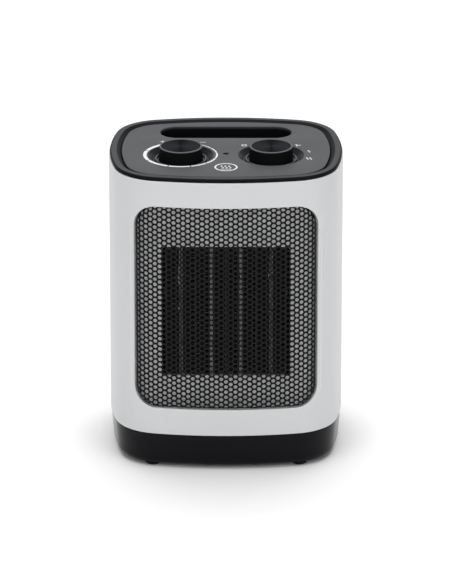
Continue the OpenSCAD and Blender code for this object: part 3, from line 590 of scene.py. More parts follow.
@dataclass(frozen=True)
class PaintedHighlightTop(Moulded):
    """Black moulded plastic whose highest faces carry a painted highlight: the land of the rim and the
    chamfer of a knob are painted grey.
    """

    level: float = 0.0
    fade: float = 0.12 * MM
    # Colour of the painted highlight on the highest faces.
    land: tuple[float, float, float] = (0.040, 0.042, 0.045)

    def paint(self, graph: Graph) -> None:
        """The painted highlight's share of the colour rises over a short height below its level."""
        super().paint(graph)
        _, _, z = graph.axes()
        share = ((z - self.level) / self.fade + 1.0).math("MAXIMUM", 0.0).math("MINIMUM", 1.0)
        tone = share * (graph.noise(60 * MM) * 0.1 + 0.9)
        graph.feed(Base_Color=graph.blend(tone, self.colour, self.land),
                   Roughness=0.5 - share * 0.12)


@dataclass(frozen=True)
class Coated(Finish):
    """Powder-coated sheet steel: a fine orange peel under a low gloss."""

    metallic: float = 0.0

    def paint(self, graph: Graph) -> None:
        """Orange peel from cells whose edges are soft, and roughness that follows it."""
        cells = graph.node("ShaderNodeTexVoronoi", {"feature": "SMOOTH_F1"},
                           {"Vector": graph.place, "Scale": 1 / self.grain, "Smoothness": 1.0})
        slow = graph.noise(25 * MM)
        graph.feed(Base_Color=self.tint(graph, slow),
                   Roughness=cells * 0.12 + slow * 0.1 + (self.roughness - 0.1), Metallic=self.metallic)
        graph.bump(cells, self.depth)


@dataclass(frozen=True)
class Spun(Finish):
    """Spun metal: fine rings about an axis, which spread its highlights along the radius, with a bow-tie
    highlight painted into its colour.
    """

    centre: tuple[float, float] = (0.0, 0.0)
    ring: float = 0.22 * MM
    metallic: float = 0.08

    def paint(self, graph: Graph) -> None:
        """Rings are the sine of the distance to the axis, broken up by noise stretched along them; the
        colour is painted lighter towards the left and right of the axis, a painted highlight.
        """
        x, y, _ = graph.axes()
        dx, dy = x - self.centre[0], y - self.centre[1]
        radius = (dx * dx + dy * dy).math("SQRT")
        angle = dy.math("ARCTAN2", dx)
        ringed = (radius * (2 * math.pi / self.ring)).math("SINE") * 0.5 + 0.5
        polar = graph.node("ShaderNodeCombineXYZ", None, {0: radius * (1 / (0.12 * MM)), 1: angle * 1.6})
        scratch = graph.node("ShaderNodeTexNoise", None, {"Vector": polar, "Scale": 1.0, "Detail": 3.0})
        # Painted highlight: lighter along X from the axis, darker along Y.
        painted_highlight = angle.math("COSINE").math("ABSOLUTE").math("POWER", 0.7)
        tone = scratch * 0.25 + painted_highlight * 0.75
        graph.feed(Base_Color=self.tint(graph, tone),
                   Roughness=(1.0 - tone) * 0.45 + self.roughness, Metallic=self.metallic, Anisotropic=0.4)
        graph.bump(ringed * 0.6 + scratch * 0.4, self.depth)


@dataclass(frozen=True)
class Brushed(Finish):
    """Rolled or plated metal with fine lines along one axis."""

    metallic: float = 1.0
    lines: tuple[float, float, float] = (1.0, 1.0, 0.04)

    def paint(self, graph: Graph) -> None:
        """Lines are noise stretched along the axis with the smallest factor."""
        size = tuple(f / self.grain for f in self.lines)
        stretched = graph.node("ShaderNodeVectorMath", {"operation": "MULTIPLY"}, {0: graph.place, 1: size})
        lined = graph.node("ShaderNodeTexNoise", None, {"Vector": stretched, "Scale": 1.0, "Detail": 3.0})
        slow = graph.noise(12 * MM)
        graph.feed(Base_Color=self.tint(graph, slow),
                   Roughness=lined * 0.2 + (self.roughness - 0.1), Metallic=self.metallic)
        graph.bump(lined, self.depth)


@dataclass(frozen=True)
class Wound(Finish):
    """Lines side by side: turns of enamelled wire, or the edges of stacked laminations."""

    pitch: float = 0.5 * MM
    across: int = 0
    metallic: float = 0.6

    def paint(self, graph: Graph) -> None:
        """Each line is a half circle of the place across it, painted darker in the grooves between: painted
        shade between turns of wire, a dark joint between laminations.
        """
        at = graph.axes()[self.across]
        wave = (at * (math.pi / self.pitch)).math("SINE").math("ABSOLUTE")
        slow = graph.noise(6 * MM)
        graph.feed(Base_Color=self.tint(graph, wave * 0.7 + slow * 0.3),
                   Roughness=slow * 0.15 + (self.roughness - 0.07), Metallic=self.metallic)
        graph.bump(wave, self.depth)


@dataclass(frozen=True)
class Lens(Finish):
    """Tinted lens of the indicator light, with a moulded frosting."""

    def paint(self, graph: Graph) -> None:
        """Frosting varies the roughness of a tinted, half clear plastic."""
        fine = graph.noise(self.grain, 2.0)
        graph.feed(Base_Color=graph.blend(fine, shade(self.colour, 0.8), self.colour),
                   Roughness=fine * 0.15 + self.roughness)
        graph.bump(fine, self.depth)


# A Moulded finish's seventh value is the share of painted shade in its grain's hollows.
FINISHES: dict[str, Finish] = {
    "white_casing": Moulded((0.655, 0.66, 0.67), 0.42, 0.012, 0.35 * MM, 0.006 * MM, 0.2, 0.2),
    "black_base": Moulded((0.0008, 0.0011, 0.0026), 0.16, 0.12, 0.3 * MM, 0.003 * MM, 0.14, 0.4),
    "black_rim": Moulded((0.0045, 0.0048, 0.0058), 0.45, 0.08, 0.3 * MM, 0.004 * MM, 0.07, 0.3),
    "grey_panel": Moulded((0.066, 0.069, 0.074), 0.5, 0.05, 0.3 * MM, 0.012 * MM, 0.15, 0.5),
    "black_perforated_steel": Coated((0.006, 0.0063, 0.007), 0.38, 0.1, 0.6 * MM, 0.006 * MM, 0.12),
    "black_inner_plastic": Moulded((0.0035, 0.0036, 0.0042), 0.5, 0.1, 0.4 * MM, 0.01 * MM, 0.1, 0.3),
    "knob_black": Moulded((0.0040, 0.0042, 0.0050), 0.42, 0.1, 0.25 * MM, 0.008 * MM, 0.1, 0.4),
    # The knob metal's large drift is the contrast of its painted bow-tie highlight.
    "knob_metal": Spun((0.004, 0.0045, 0.006), 0.5, 0.9, 0.3 * MM, 0.008 * MM, 0.04),
    # Tube and fin aluminium are painted darker than bare aluminium, the fins nearly black: painted shade
    # deep in the duct.
    "heater_aluminium": Brushed((0.36, 0.365, 0.36), 0.5, 0.1, 0.3 * MM, 0.01 * MM),
    "fin_aluminium": Brushed((0.062, 0.062, 0.064), 0.5, 0.15, 0.4 * MM, 0.02 * MM),
    "ceramic": Finish((0.78, 0.75, 0.66), 0.75, 0.05, 0.4 * MM, 0.02 * MM),
    "brass": Brushed((0.72, 0.52, 0.22), 0.35, 0.08, 0.2 * MM, 0.008 * MM),
    "steel": Brushed((0.52, 0.53, 0.55), 0.32, 0.08, 0.2 * MM, 0.006 * MM, lines=(1.0, 0.06, 1.0)),
    "lamination": Wound((0.30, 0.30, 0.31), 0.45, 0.35, 0.4 * MM, 0.06 * MM, pitch=0.5 * MM, across=1,
                        metallic=0.8),
    "copper_coil": Wound((0.42, 0.16, 0.05), 0.32, 0.35, 0.4 * MM, 0.12 * MM, pitch=0.42 * MM),
    "bronze": Brushed((0.52, 0.33, 0.15), 0.5, 0.1, 0.3 * MM, 0.01 * MM),
    "cream_insulator": Moulded((0.66, 0.62, 0.50), 0.5, 0.05, 0.4 * MM, 0.012 * MM),
    "rubber": Finish((0.008, 0.008, 0.008), 0.75, 0.12, 0.3 * MM, 0.03 * MM, 0.15),
    "red_lens": Lens((0.008, 0.001, 0.001), 0.5, 0.1, 0.25 * MM, 0.01 * MM, 0.03),
}
PRINT = Finish((0.66, 0.665, 0.68), 0.5, 0.03, 0.2 * MM, 0.004 * MM)


def variant(kind: type[Finish], slot: str, **extra: object) -> Finish:
    """Finish of another kind that keeps a slot's colour, roughness, drift, grain, depth and specular.

    Args:
        kind: The new finish's class.
        slot: The slot that it follows.
        **extra: Values of the class's own fields.

    Returns:
        The new finish.
    """
    kept = {item.name: getattr(FINISHES[slot], item.name) for item in fields(Finish)}
    return kind(**kept, **extra)


class Paintbox:
    """Makes each slot's material once and puts it on pieces."""

    def __init__(self) -> None:
        """Starts with no materials."""
        self.made: dict[str, bpy.types.Material] = {}

    def get(self, slot: str) -> bpy.types.Material:
        """The material of a slot."""
        if slot not in self.made:
            self.made[slot] = FINISHES[slot].material(slot)
        return self.made[slot]

    def dress(self, piece: bpy.types.Object, slot: str, material: bpy.types.Material | None = None) -> None:
        """Gives a new piece its slot's material, or another material of the same slot."""
        piece.data.materials.clear()
        piece.data.materials.append(material or self.get(slot))

    def dress_node(self, node: str, slot: str, material: bpy.types.Material | None = None) -> None:
        """Gives a carried-over CAD node its slot's material on its own material slots."""
        for place in frame["nodes"][node].material_slots:
            place.link = "OBJECT"
            place.material = material or self.get(slot)


def settle(piece: bpy.types.Object, body: str, *nodes: str) -> bpy.types.Object:
    """Lets a piece ride on its body and stand for its CAD nodes, and reports it."""
    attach(piece, body)
    if nodes:
        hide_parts(*nodes)
    log.info("%s rides on %s and stands for %s", piece.name, body, ", ".join(nodes) or "nothing")
    return piece


# ---------------------------------------------------------------------------
# Casing
# ---------------------------------------------------------------------------


@dataclass
class Casing:
    """Front and rear shells, with their openings."""

    plan: Outline
    outlet: RoundRect
    intake: RoundRect
    low: float
    high: float
    seam: float
    wall: float = 1.9 * MM
    lip: float = 0.9 * MM
    edge: float = 0.6 * MM
    lip_depth: float = 2.4 * MM
    well_r: float = 3.7 * MM
    well_x: float = 73 * MM
    well_z: tuple[float, float] = (0.0, 0.0)
    well_floor: float = 18.5 * MM
    well_run: float = 24 * MM
    well_patch: float = 12 * MM
    well_room: float = 2.2
    pitch: float = 3 * MM

    def skin_profile(self, rings: int) -> Array:
        """Rows of a shell's skin: share of the way to the rim, offset at the hole, offset at the rim, inset.

        It comes up the wall of the hole, rolls over its lip, crosses the face and rolls over the rim.
        """
        sin, cos = quarter(6)
        zero = np.zeros(7)
        lip = np.column_stack([zero, self.lip * (1 - cos), zero, self.lip * (1 - sin)])
        share = np.linspace(0, 1, rings)[1:-1]
        face = np.column_stack([share, self.lip * (1 - share), -self.edge * share, share * 0])
        edge = np.column_stack([zero + 1, zero, self.edge * (sin - 1), self.edge * (1 - cos)])
        start = [[0, 0, 0, self.lip_depth], [0, 0, 0, self.lip * 1.5]]
        end = [[1, 0, 0, self.edge * 1.5], [1, 0, 0, self.lip_depth]]
        return np.vstack([start, lip, face, edge, end])

    def front(self) -> bpy.types.Object:
        """Front shell: rings between the outlet and the shell's rim, laid on the outline by length."""
        half = self.plan.at_seam(self.seam)
        s, z = steps_between(-half, half, self.pitch), steps_between(self.low, self.high, self.pitch)
        rim = rect_rim(s, z)
        mid = self.outlet.mid
        reach = np.where(rim[:, 1] > mid, self.high - mid, mid - self.low)
        unit = np.column_stack([rim[:, 0] / half, (rim[:, 1] - mid) / reach])
        angle = np.arctan2(unit[:, 1], unit[:, 0])
        rows = self.skin_profile(34)
        out = unit / np.maximum(np.abs(unit).max(1, keepdims=True), 1e-9)
        outward = np.where(np.abs(out) > 1 - 1e-6, np.sign(out), 0)
        grid = []
        for share, at_hole, at_rim, inset in rows:
            hole = self.outlet.ray(angle, at_hole)
            hole[:, 0] = self.plan.at_x(hole[:, 0])
            place = (1 - share) * hole + share * (rim + outward * at_rim)
            grid.append(self.plan.place(place[:, 0], inset, place[:, 1]))
        skin = Skin()
        skin.grid(np.array(grid), round_cols=True)
        return self.finish_shell(skin, "front_shell")

    def finish_shell(self, skin: Skin, name: str) -> bpy.types.Object:
        """Turns the skin's faces outwards, gives it a wall and returns the piece."""
        piece = skin.piece(name, closed=False)
        turn_faces(piece)
        thicken(piece, self.wall)
        return piece

    def patch(self, skin: Skin, s: Array, z: Array, hole: Callable[[Array, float], Array],
              mid: Sequence[float], rings: int, well: bool) -> None:
        """Adds a rectangle of the rear shell with a hole.

        Args:
            skin: Where it goes.
            s: Lengths along its lower and upper edges.
            z: Heights along its upright edges.
            hole: Gives the hole's (s, z) points for angles and an offset.
            mid: The hole's middle, (s, z).
            rings: Rings between the hole and the edges.
            well: Whether the hole goes on as a deep well along Y.
        """
        rim = rect_rim(s, z)
        away = rim - np.asarray(mid)
        reach = np.where(away > 0, [s[-1] - mid[0], z[-1] - mid[1]], [mid[0] - s[0], mid[1] - z[0]])
        unit = away / reach
        angle = np.arctan2(unit[:, 1], unit[:, 0])
        lip = self.lip * (0.5 if well else 1)
        sin, cos = quarter(5)
        share = np.linspace(0, 1, rings)[1:]
        rows = [(0, lip * (1 - c), lip * (1 - n)) for n, c in zip(sin, cos)]
        rows += [(w, lip * (1 - w), 0) for w in share]
        grid = []
        for w, grow, inset in rows:
            place = (1 - w) * hole(angle, grow) + w * rim
            grid.append(self.plan.place(place[:, 0], inset, place[:, 1], back=True))
        deep = []
        if well:
            for run in (0, 0.5, 1):
                ring = grid[0].copy()
                ring[:, 1] = self.well_floor + run * self.well_run
                deep.append(ring)
        else:
            wall = hole(angle, 0.0)
            deep.append(self.plan.place(wall[:, 0], self.lip_depth, wall[:, 1], back=True))
        skin.grid(np.array(deep + grid), round_cols=True)

    def rear(self) -> bpy.types.Object:
        """Rear shell: a middle patch with the intake, and side columns with a screw well in each half."""
        half = 2 * self.plan.at_seam(0.0) - self.plan.at_seam(self.seam)
        half_in, low, high = half - self.edge, self.low + self.edge, self.high - self.edge
        bound = float(self.plan.at_x(self.well_x - self.well_room * self.well_r))
        cuts = [low, *(z + side * self.well_patch for z in self.well_z for side in (-1, 1)), high]
        spans = [steps_between(a, b, self.pitch) for a, b in zip(cuts, cuts[1:])]
        whole = np.concatenate([spans[0]] + [span[1:] for span in spans[1:]])
        middle, side = steps_between(-bound, bound, self.pitch), steps_between(bound, half_in, self.pitch)
        skin = Skin()
        self.patch(skin, middle, whole, self.intake_hole, (0.0, self.intake.mid), 16, False)
        for sign in (-1, 1):
            s = side if sign > 0 else -side[::-1]
            for k, span in enumerate(spans):
                if k % 2:
                    at_z = self.well_z[k // 2]
                    centre = (sign * float(self.plan.at_x(self.well_x)), at_z)
                    self.patch(skin, s, span, self.well_hole(sign, at_z), centre, 12, True)
                else:
                    skin.grid(self.plan.place(s[None, :], 0.0, span[:, None], back=True))
        s = np.concatenate([-side[:0:-1], middle, side[1:]])
        rim = rect_rim(s, whole)
        across = np.where(np.isclose(np.abs(rim[:, 0]), half_in), np.sign(rim[:, 0]), 0)
        upward = np.isclose(rim[:, 1], high) * 1 - np.isclose(rim[:, 1], low)
        out = np.column_stack([across, upward])
        sin, cos = quarter(6)
        rows = [(self.edge * n, self.edge * (1 - c)) for n, c in zip(sin, cos)]
        rows.append((self.edge, self.lip_depth))
        edge = []
        for grow, inset in rows:
            loop = rim + out * grow
            edge.append(self.plan.place(loop[:, 0], inset, loop[:, 1], back=True))
        skin.grid(np.array(edge), round_cols=True)
        return self.finish_shell(skin, "rear_shell")

    def intake_hole(self, angle: Array, grow: float) -> Array:
        """(s, z) of the intake's outline."""
        loop = self.intake.ray(angle, grow)
        loop[:, 0] = self.plan.at_x(loop[:, 0])
        return loop

    def well_hole(self, sign: int, z: float) -> Callable[[Array, float], Array]:
        """Function that gives the (s, z) of a round well seen along Y."""
        def loop(angle: Array, grow: float) -> Array:
            """Circle in x and z, with x laid on the outline."""
            x = sign * self.well_x + (self.well_r + grow) * np.cos(angle)
            return np.column_stack([self.plan.at_x(x), z + (self.well_r + grow) * np.sin(angle)])
        return loop

    def build(self, paint: Paintbox) -> None:
        """Builds and dresses both shells."""
        for piece, node in ((self.front(), "front_casing"), (self.rear(), "rear_casing")):
            paint.dress(piece, "white_casing")
            settle(piece, "housing", node)


# ---------------------------------------------------------------------------
# Base
# ---------------------------------------------------------------------------


@dataclass
class Base:
    """Black tray with its screw wells, and the rubber feet."""

    plan: Outline
    low: float
    high: float
    step: float = 0.4 * MM
    draft: float = 2.2 * MM
    foot_round: float = 5.6 * MM
    round_in: float = 3.4 * MM
    edge: float = 0.5 * MM
    wall: float = 1.9 * MM
    hem_in: float = 2.6 * MM
    hem: float = 3 * MM
    well_r: float = 3.7 * MM
    well_depth: float = 15 * MM
    tip_r: float = 4.3 * MM
    tip_depth: float = 2 * MM
    foot_r: float = 6 * MM

    def build(self, paint: Paintbox) -> None:
        """Tray: from its inner top edge over the rim, down the drafted side and round to the floor."""
        height = self.high - self.low
        up = np.linspace(height - self.edge, self.foot_round, 12)
        side = np.column_stack([self.step + self.draft * (1 - up / height), self.low + up])
        sin, cos = quarter(9)
        foot = np.column_stack([side[-1, 0] + self.round_in * (1 - cos),
                                self.low + self.foot_round * (1 - sin)])
        sin, cos = quarter(5)
        top = np.column_stack([self.step + self.edge * (1 - sin), self.high - self.edge * (1 - cos)])
        inside = self.step + self.hem_in
        lead = [[inside, self.high - self.hem], [inside, self.high]]
        profile = np.vstack([lead, top, side[1:], foot[1:]])
        skin = Skin()
        sweep(skin, self.plan, profile, closed=False)
        holes = [self.circle(x, y, self.well_r) for x, y in self.screw_places()]
        tip = middle("tip_plunger")
        holes.append(self.circle(tip.x, tip.y, self.tip_r))
        flat_sheet(skin, self.low, self.plan.loop(float(profile[-1, 0])), holes)
        for hole, depth in zip(holes, [self.well_depth] * 4 + [self.tip_depth]):
            rings = [level_loop(hole, self.low + depth * k) for k in (0, 0.5, 1)]
            skin.grid(np.array(rings), round_cols=True)
        piece = skin.piece("base_shell", closed=False)
        turn_faces(piece)
        thicken(piece, self.wall)
        paint.dress(piece, "black_base")
        settle(piece, "housing", "base_tray")
        self.feet(paint)

    @staticmethod
    def circle(x: float, y: float, r: float, count: int = 40) -> Array:
        """Closed loop round a point."""
        a = np.linspace(0, 2 * math.pi, count, endpoint=False)
        return np.column_stack([x + r * np.cos(a), y + r * np.sin(a)])

    @staticmethod
    def screw_places() -> list[tuple[float, float]]:
        """X and Y of the four base screws, from the box round their heads."""
        low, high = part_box("base_screws")
        return [(x, y) for x in (low.x + SCREW_HEAD, high.x - SCREW_HEAD)
                for y in (low.y + SCREW_HEAD, high.y - SCREW_HEAD)]

    def feet(self, paint: Paintbox) -> None:
        """Four feet: a flat pad with a round shoulder and a groove, turned about upright axes."""
        low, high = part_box("rubber_feet")
        r, shoulder, hollow, groove = self.foot_r, 1.2 * MM, 0.25 * MM, 0.5 * MM
        top = self.low + 0.3 * MM
        sin, cos = quarter(8)
        under = [[0, hollow], [r * 0.45, hollow], [r * 0.55, 0.0]]
        side = np.column_stack([r - shoulder + shoulder * sin, shoulder * (1 - cos)])
        stem = [[r, top - 0.8 * MM], [r - groove, top - 0.3 * MM], [r - groove, top], [0, top]]
        profile = np.vstack([under, side, stem])
        skin = Skin()
        for x in (low.x + r, high.x - r):
            for y in (low.y + r, high.y - r):
                lathe(skin, (x, y), profile, 48)
        piece = skin.piece("foot_pads")
        paint.dress(piece, "rubber")
        settle(piece, "housing", "rubber_feet")


# ---------------------------------------------------------------------------
# Air outlet
# ---------------------------------------------------------------------------


@dataclass
class Outlet:
    """Perforated sheet in the outlet and the tray behind it, whose white is painted lighter than the
    casing's as painted light.
    """

    plan: Outline
    opening: RoundRect
    window: RoundRect
    floor_y: float
    pitch: float = 4.4 * MM
    hole_r: float = 1.62 * MM
    inset: float = 1.0 * MM
    sheet: float = 0.8 * MM
    bend_r: float = 3.2 * MM
    bend_gap: float = 0.3 * MM
    corners: int = 12

    def bent(self, s: Array, z: Array, level: float) -> Array:
        """Places of the sheet on the front, with its border bent back.

        The border starts bend_r + bend_gap inside the opening. A length l past that start moves outwards by
        R sin(l / R) and back by R (1 - cos(l / R)), so the sheet dips away round the whole opening.

        Args:
            s: Lengths along the front.
            z: Heights.
            level: Depth below the sheet's front face.

        Returns:
            Points of shape (..., 3).
        """
        x = self.plan.place(s, 0.0, z)[..., 0]
        depth, nx, nz = self.opening.depth(x, z)
        past = np.clip(self.bend_r + self.bend_gap - depth, 0, None)
        turn = np.minimum(past / self.bend_r, math.pi / 2)
        out = self.bend_r * np.sin(turn) - past
        back = self.bend_r * (1 - np.cos(turn)) + np.maximum(past - self.bend_r * math.pi / 2, 0)
        out = out - level * np.sin(turn)
        back = back + level * np.cos(turn)
        return self.plan.place(s + nx * out, self.inset + back, z + nz * out)

    def cells(self) -> Array:
        """Middles (s, z) of the holes: columns half a pitch apart in height, close-packed."""
        col = self.pitch * math.cos(math.radians(30))
        half_s = float(self.plan.at_x(self.opening.half_w))
        i = np.arange(-int(half_s / col) - 2, int(half_s / col) + 3)
        j = np.arange(-int(self.opening.half_h / self.pitch) - 3, int(self.opening.half_h / self.pitch) + 4)
        ii, jj = np.meshgrid(i, j, indexing="ij")
        s = ii * col
        z = self.opening.mid + (jj + (ii % 2) / 2) * self.pitch
        x = self.plan.place(s, 0.0, z)[..., 0]
        depth, _, _ = self.opening.depth(x, z)
        keep = depth > -1.7 * MM
        return np.column_stack([s[keep], z[keep]])

    def mesh_sheet(self) -> bpy.types.Object:
        """Perforated sheet: one six-sided cell round each hole, with its rim rolled into the hole.

        Each cell joins twelve points on its hexagon to twelve on its hole; neighbours share their hexagons'
        points, so the cells merge into one sheet.
        """
        n = self.corners
        turn = np.arange(n) * 2 * math.pi / n
        side = self.pitch / 2
        reach = side / np.cos((turn + math.pi / 6) % (math.pi / 3) - math.pi / 6)
        angle = turn + math.pi / 2
        hole = np.full(n, self.hole_r)
        rings = [(reach, 0.0), (hole + 0.14 * MM, 0.0), (hole, 0.16 * MM), (hole, self.sheet),
                 (reach, self.sheet)]
        at = self.cells()
        count = len(at)
        points = []
        for r, level in rings:
            s = at[:, :1] + r * np.cos(angle)
            z = at[:, 1:2] + r * np.sin(angle)
            points.append(self.bent(s, z, level))
        block = np.stack(points, 1)
        quads = grid_quads(len(rings), n, round_cols=True)
        faces = (quads[None] + (np.arange(count) * len(rings) * n)[:, None, None]).reshape(-1, 4)
        skin = Skin()
        skin.add(block, faces)
        return skin.piece("outlet_mesh", sharp=40, closed=False)

    def tray(self) -> bpy.types.Object:
        """Tray: flat round the window, easing back with the casing's corners, with a wall round its edge.

        Its floor stands at floor_y where the front is deep enough, and elsewhere follows the front 8 mm in:
        y = the larger of the two.
        """
        rim_angle = np.linspace(-math.pi, math.pi, 360, endpoint=False)
        skin = Skin()
        window = self.window.ray(rim_angle)
        rows = [upright_loop(window, self.floor_y + back) for back in (6 * MM, 0.5 * MM)]
        fillet, lap = 4 * MM, 1 * MM
        foot = self.opening.ray(rim_angle, lap - fillet)
        for share in np.linspace(0, 1, 22):
            loop = window + (foot - window) * share
            rows.append(upright_loop(loop, self.floor_at(loop[:, 0])))
        sin, cos = quarter(6)
        for n, c in zip(sin[1:], cos[1:]):
            loop = self.opening.ray(rim_angle, lap - fillet + fillet * n)
            rows.append(upright_loop(loop, self.floor_at(loop[:, 0]) - fillet * (1 - c)))
        edge = self.opening.ray(rim_angle, lap)
        front = self.plan.place(self.plan.at_x(edge[:, 0]), self.inset + 0.3 * MM, edge[:, 1])
        base_y = rows[-1][:, 1]
        for share in (0.5, 1.0):
            y = base_y + (np.minimum(front[:, 1], base_y - 0.5 * MM) - base_y) * share
            rows.append(upright_loop(edge, y))
        skin.grid(np.array(rows), round_cols=True)
        piece = skin.piece("outlet_tray", closed=False)
        turn_faces(piece, Vector((0, -1, 0)))
        thicken(piece, 1.5 * MM)
        return piece

    def floor_at(self, x: Array) -> Array:
        """Y of the tray's floor at x."""
        follow = self.plan.place(self.plan.at_x(x), 8 * MM, 0.0)
        arcs = self.plan.arcs()
        cx, cy, r = arcs[1, 0], arcs[1, 1], arcs[1, 2] - 8 * MM
        dx = np.clip(np.abs(x) - cx, 0, r * 0.999)
        round_y = np.where(np.abs(x) > cx, cy - np.sqrt(r * r - dx * dx), follow[:, 1])
        return np.maximum(self.floor_y, round_y)

    def build(self, paint: Paintbox) -> None:
        """Builds and dresses the sheet and the tray."""
        sheet = self.mesh_sheet()
        paint.dress(sheet, "black_perforated_steel")
        settle(sheet, "housing", "front_grille")
        tray = self.tray()
        # The tray is the casing's white plastic painted lighter than the casing: painted light against the
        # sheet's shade.
        pale = Moulded((0.86, 0.865, 0.87), 0.5, 0.012, 0.35 * MM, 0.006 * MM)
        paint.dress(tray, "white_casing", pale.material("tray_white"))
        settle(tray, "housing", "outlet_frame")


# ---------------------------------------------------------------------------
# Heater core
# ---------------------------------------------------------------------------


@dataclass
class HeaterCore:
    """Folded fins between the heating tubes."""

    pitch: float = 2.6 * MM
    strip: float = 0.18 * MM
    columns: int = 8
    tube_t: float = 3.6 * MM
    clear: float = 1 * MM

    def build(self, paint: Paintbox) -> None:
        """Each column is one strip folded from side to side: x follows a rounded wave of the height."""
        low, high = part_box("heater_fins")
        tubes_low, tubes_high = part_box("heater_tubes")
        step = (tubes_high.x - tubes_low.x - self.tube_t) / (self.columns // 2 - 1)
        width = (step - self.tube_t - self.clear) / 2
        z = np.arange(low.z, high.z, self.pitch / 12)
        phase = (z - low.z) / self.pitch * 2 * math.pi
        wave = np.clip(np.sin(phase) * 1.1, -1, 1) * (width / 2 - self.strip)
        y = np.array([low.y, (low.y + high.y) / 2, high.y])
        skin = Skin()
        for k in range(self.columns // 2):
            tube_x = tubes_low.x + self.tube_t / 2 + k * step
            for sign in (-1, 1):
                x = tube_x + sign * (self.tube_t / 2 + width / 2) + wave
                skin.grid(np.stack(np.broadcast_arrays(x[:, None], y[None, :], z[:, None]), -1))
        piece = skin.piece("folded_fins", closed=False)
        thicken(piece, self.strip)
        paint.dress(piece, "fin_aluminium")
        settle(piece, "housing", "heater_fins")
        self.tubes(paint, tubes_low, tubes_high, step)
        # The plates take the fins' dark material: painted shade in the duct.
        paint.dress_node("heater_plates", "heater_aluminium", paint.get("fin_aluminium"))

    def tubes(self, paint: Paintbox, low: Vector, high: Vector, step: float) -> None:
        """Heating tubes: flat tubes whose edges draw in to slim round noses, closed at both ends.

        At each share of the depth the half width is a share of the tube's, small at the nose, then whole.
        """
        along = np.array([0, 0.01, 0.04, 0.09, 0.16, 0.24, 0.5])
        share = np.array([0.16, 0.3, 0.42, 0.5, 0.72, 1.0, 1.0]) * self.tube_t / 2
        y = low.y + (high.y - low.y) * np.concatenate([along, 1 - along[-2::-1]])
        half = np.concatenate([share, share[-2::-1]])
        section = np.concatenate([np.column_stack([half, y]), np.column_stack([-half, y])[::-1]])
        z = np.linspace(low.z, high.z, 12)
        skin = Skin()
        for k in range(self.columns // 2):
            x = low.x + self.tube_t / 2 + k * step
            rings = np.stack([level_loop(section + [x, 0], h) for h in z])
            skin.grid(rings, round_cols=True)
            skin.fan(rings[0], rings[0].mean(0))
            skin.fan(rings[-1], rings[-1].mean(0))
        piece = skin.piece("heating_tubes", sharp=50)
        paint.dress(piece, "heater_aluminium")
        settle(piece, "housing", "heater_tubes")


# ---------------------------------------------------------------------------
# Top: rim, panel, well, dials
# ---------------------------------------------------------------------------


class Dial(Enum):
    """The two dials, left and right."""

    THERMOSTAT = "thermostat"
    MODE = "mode"


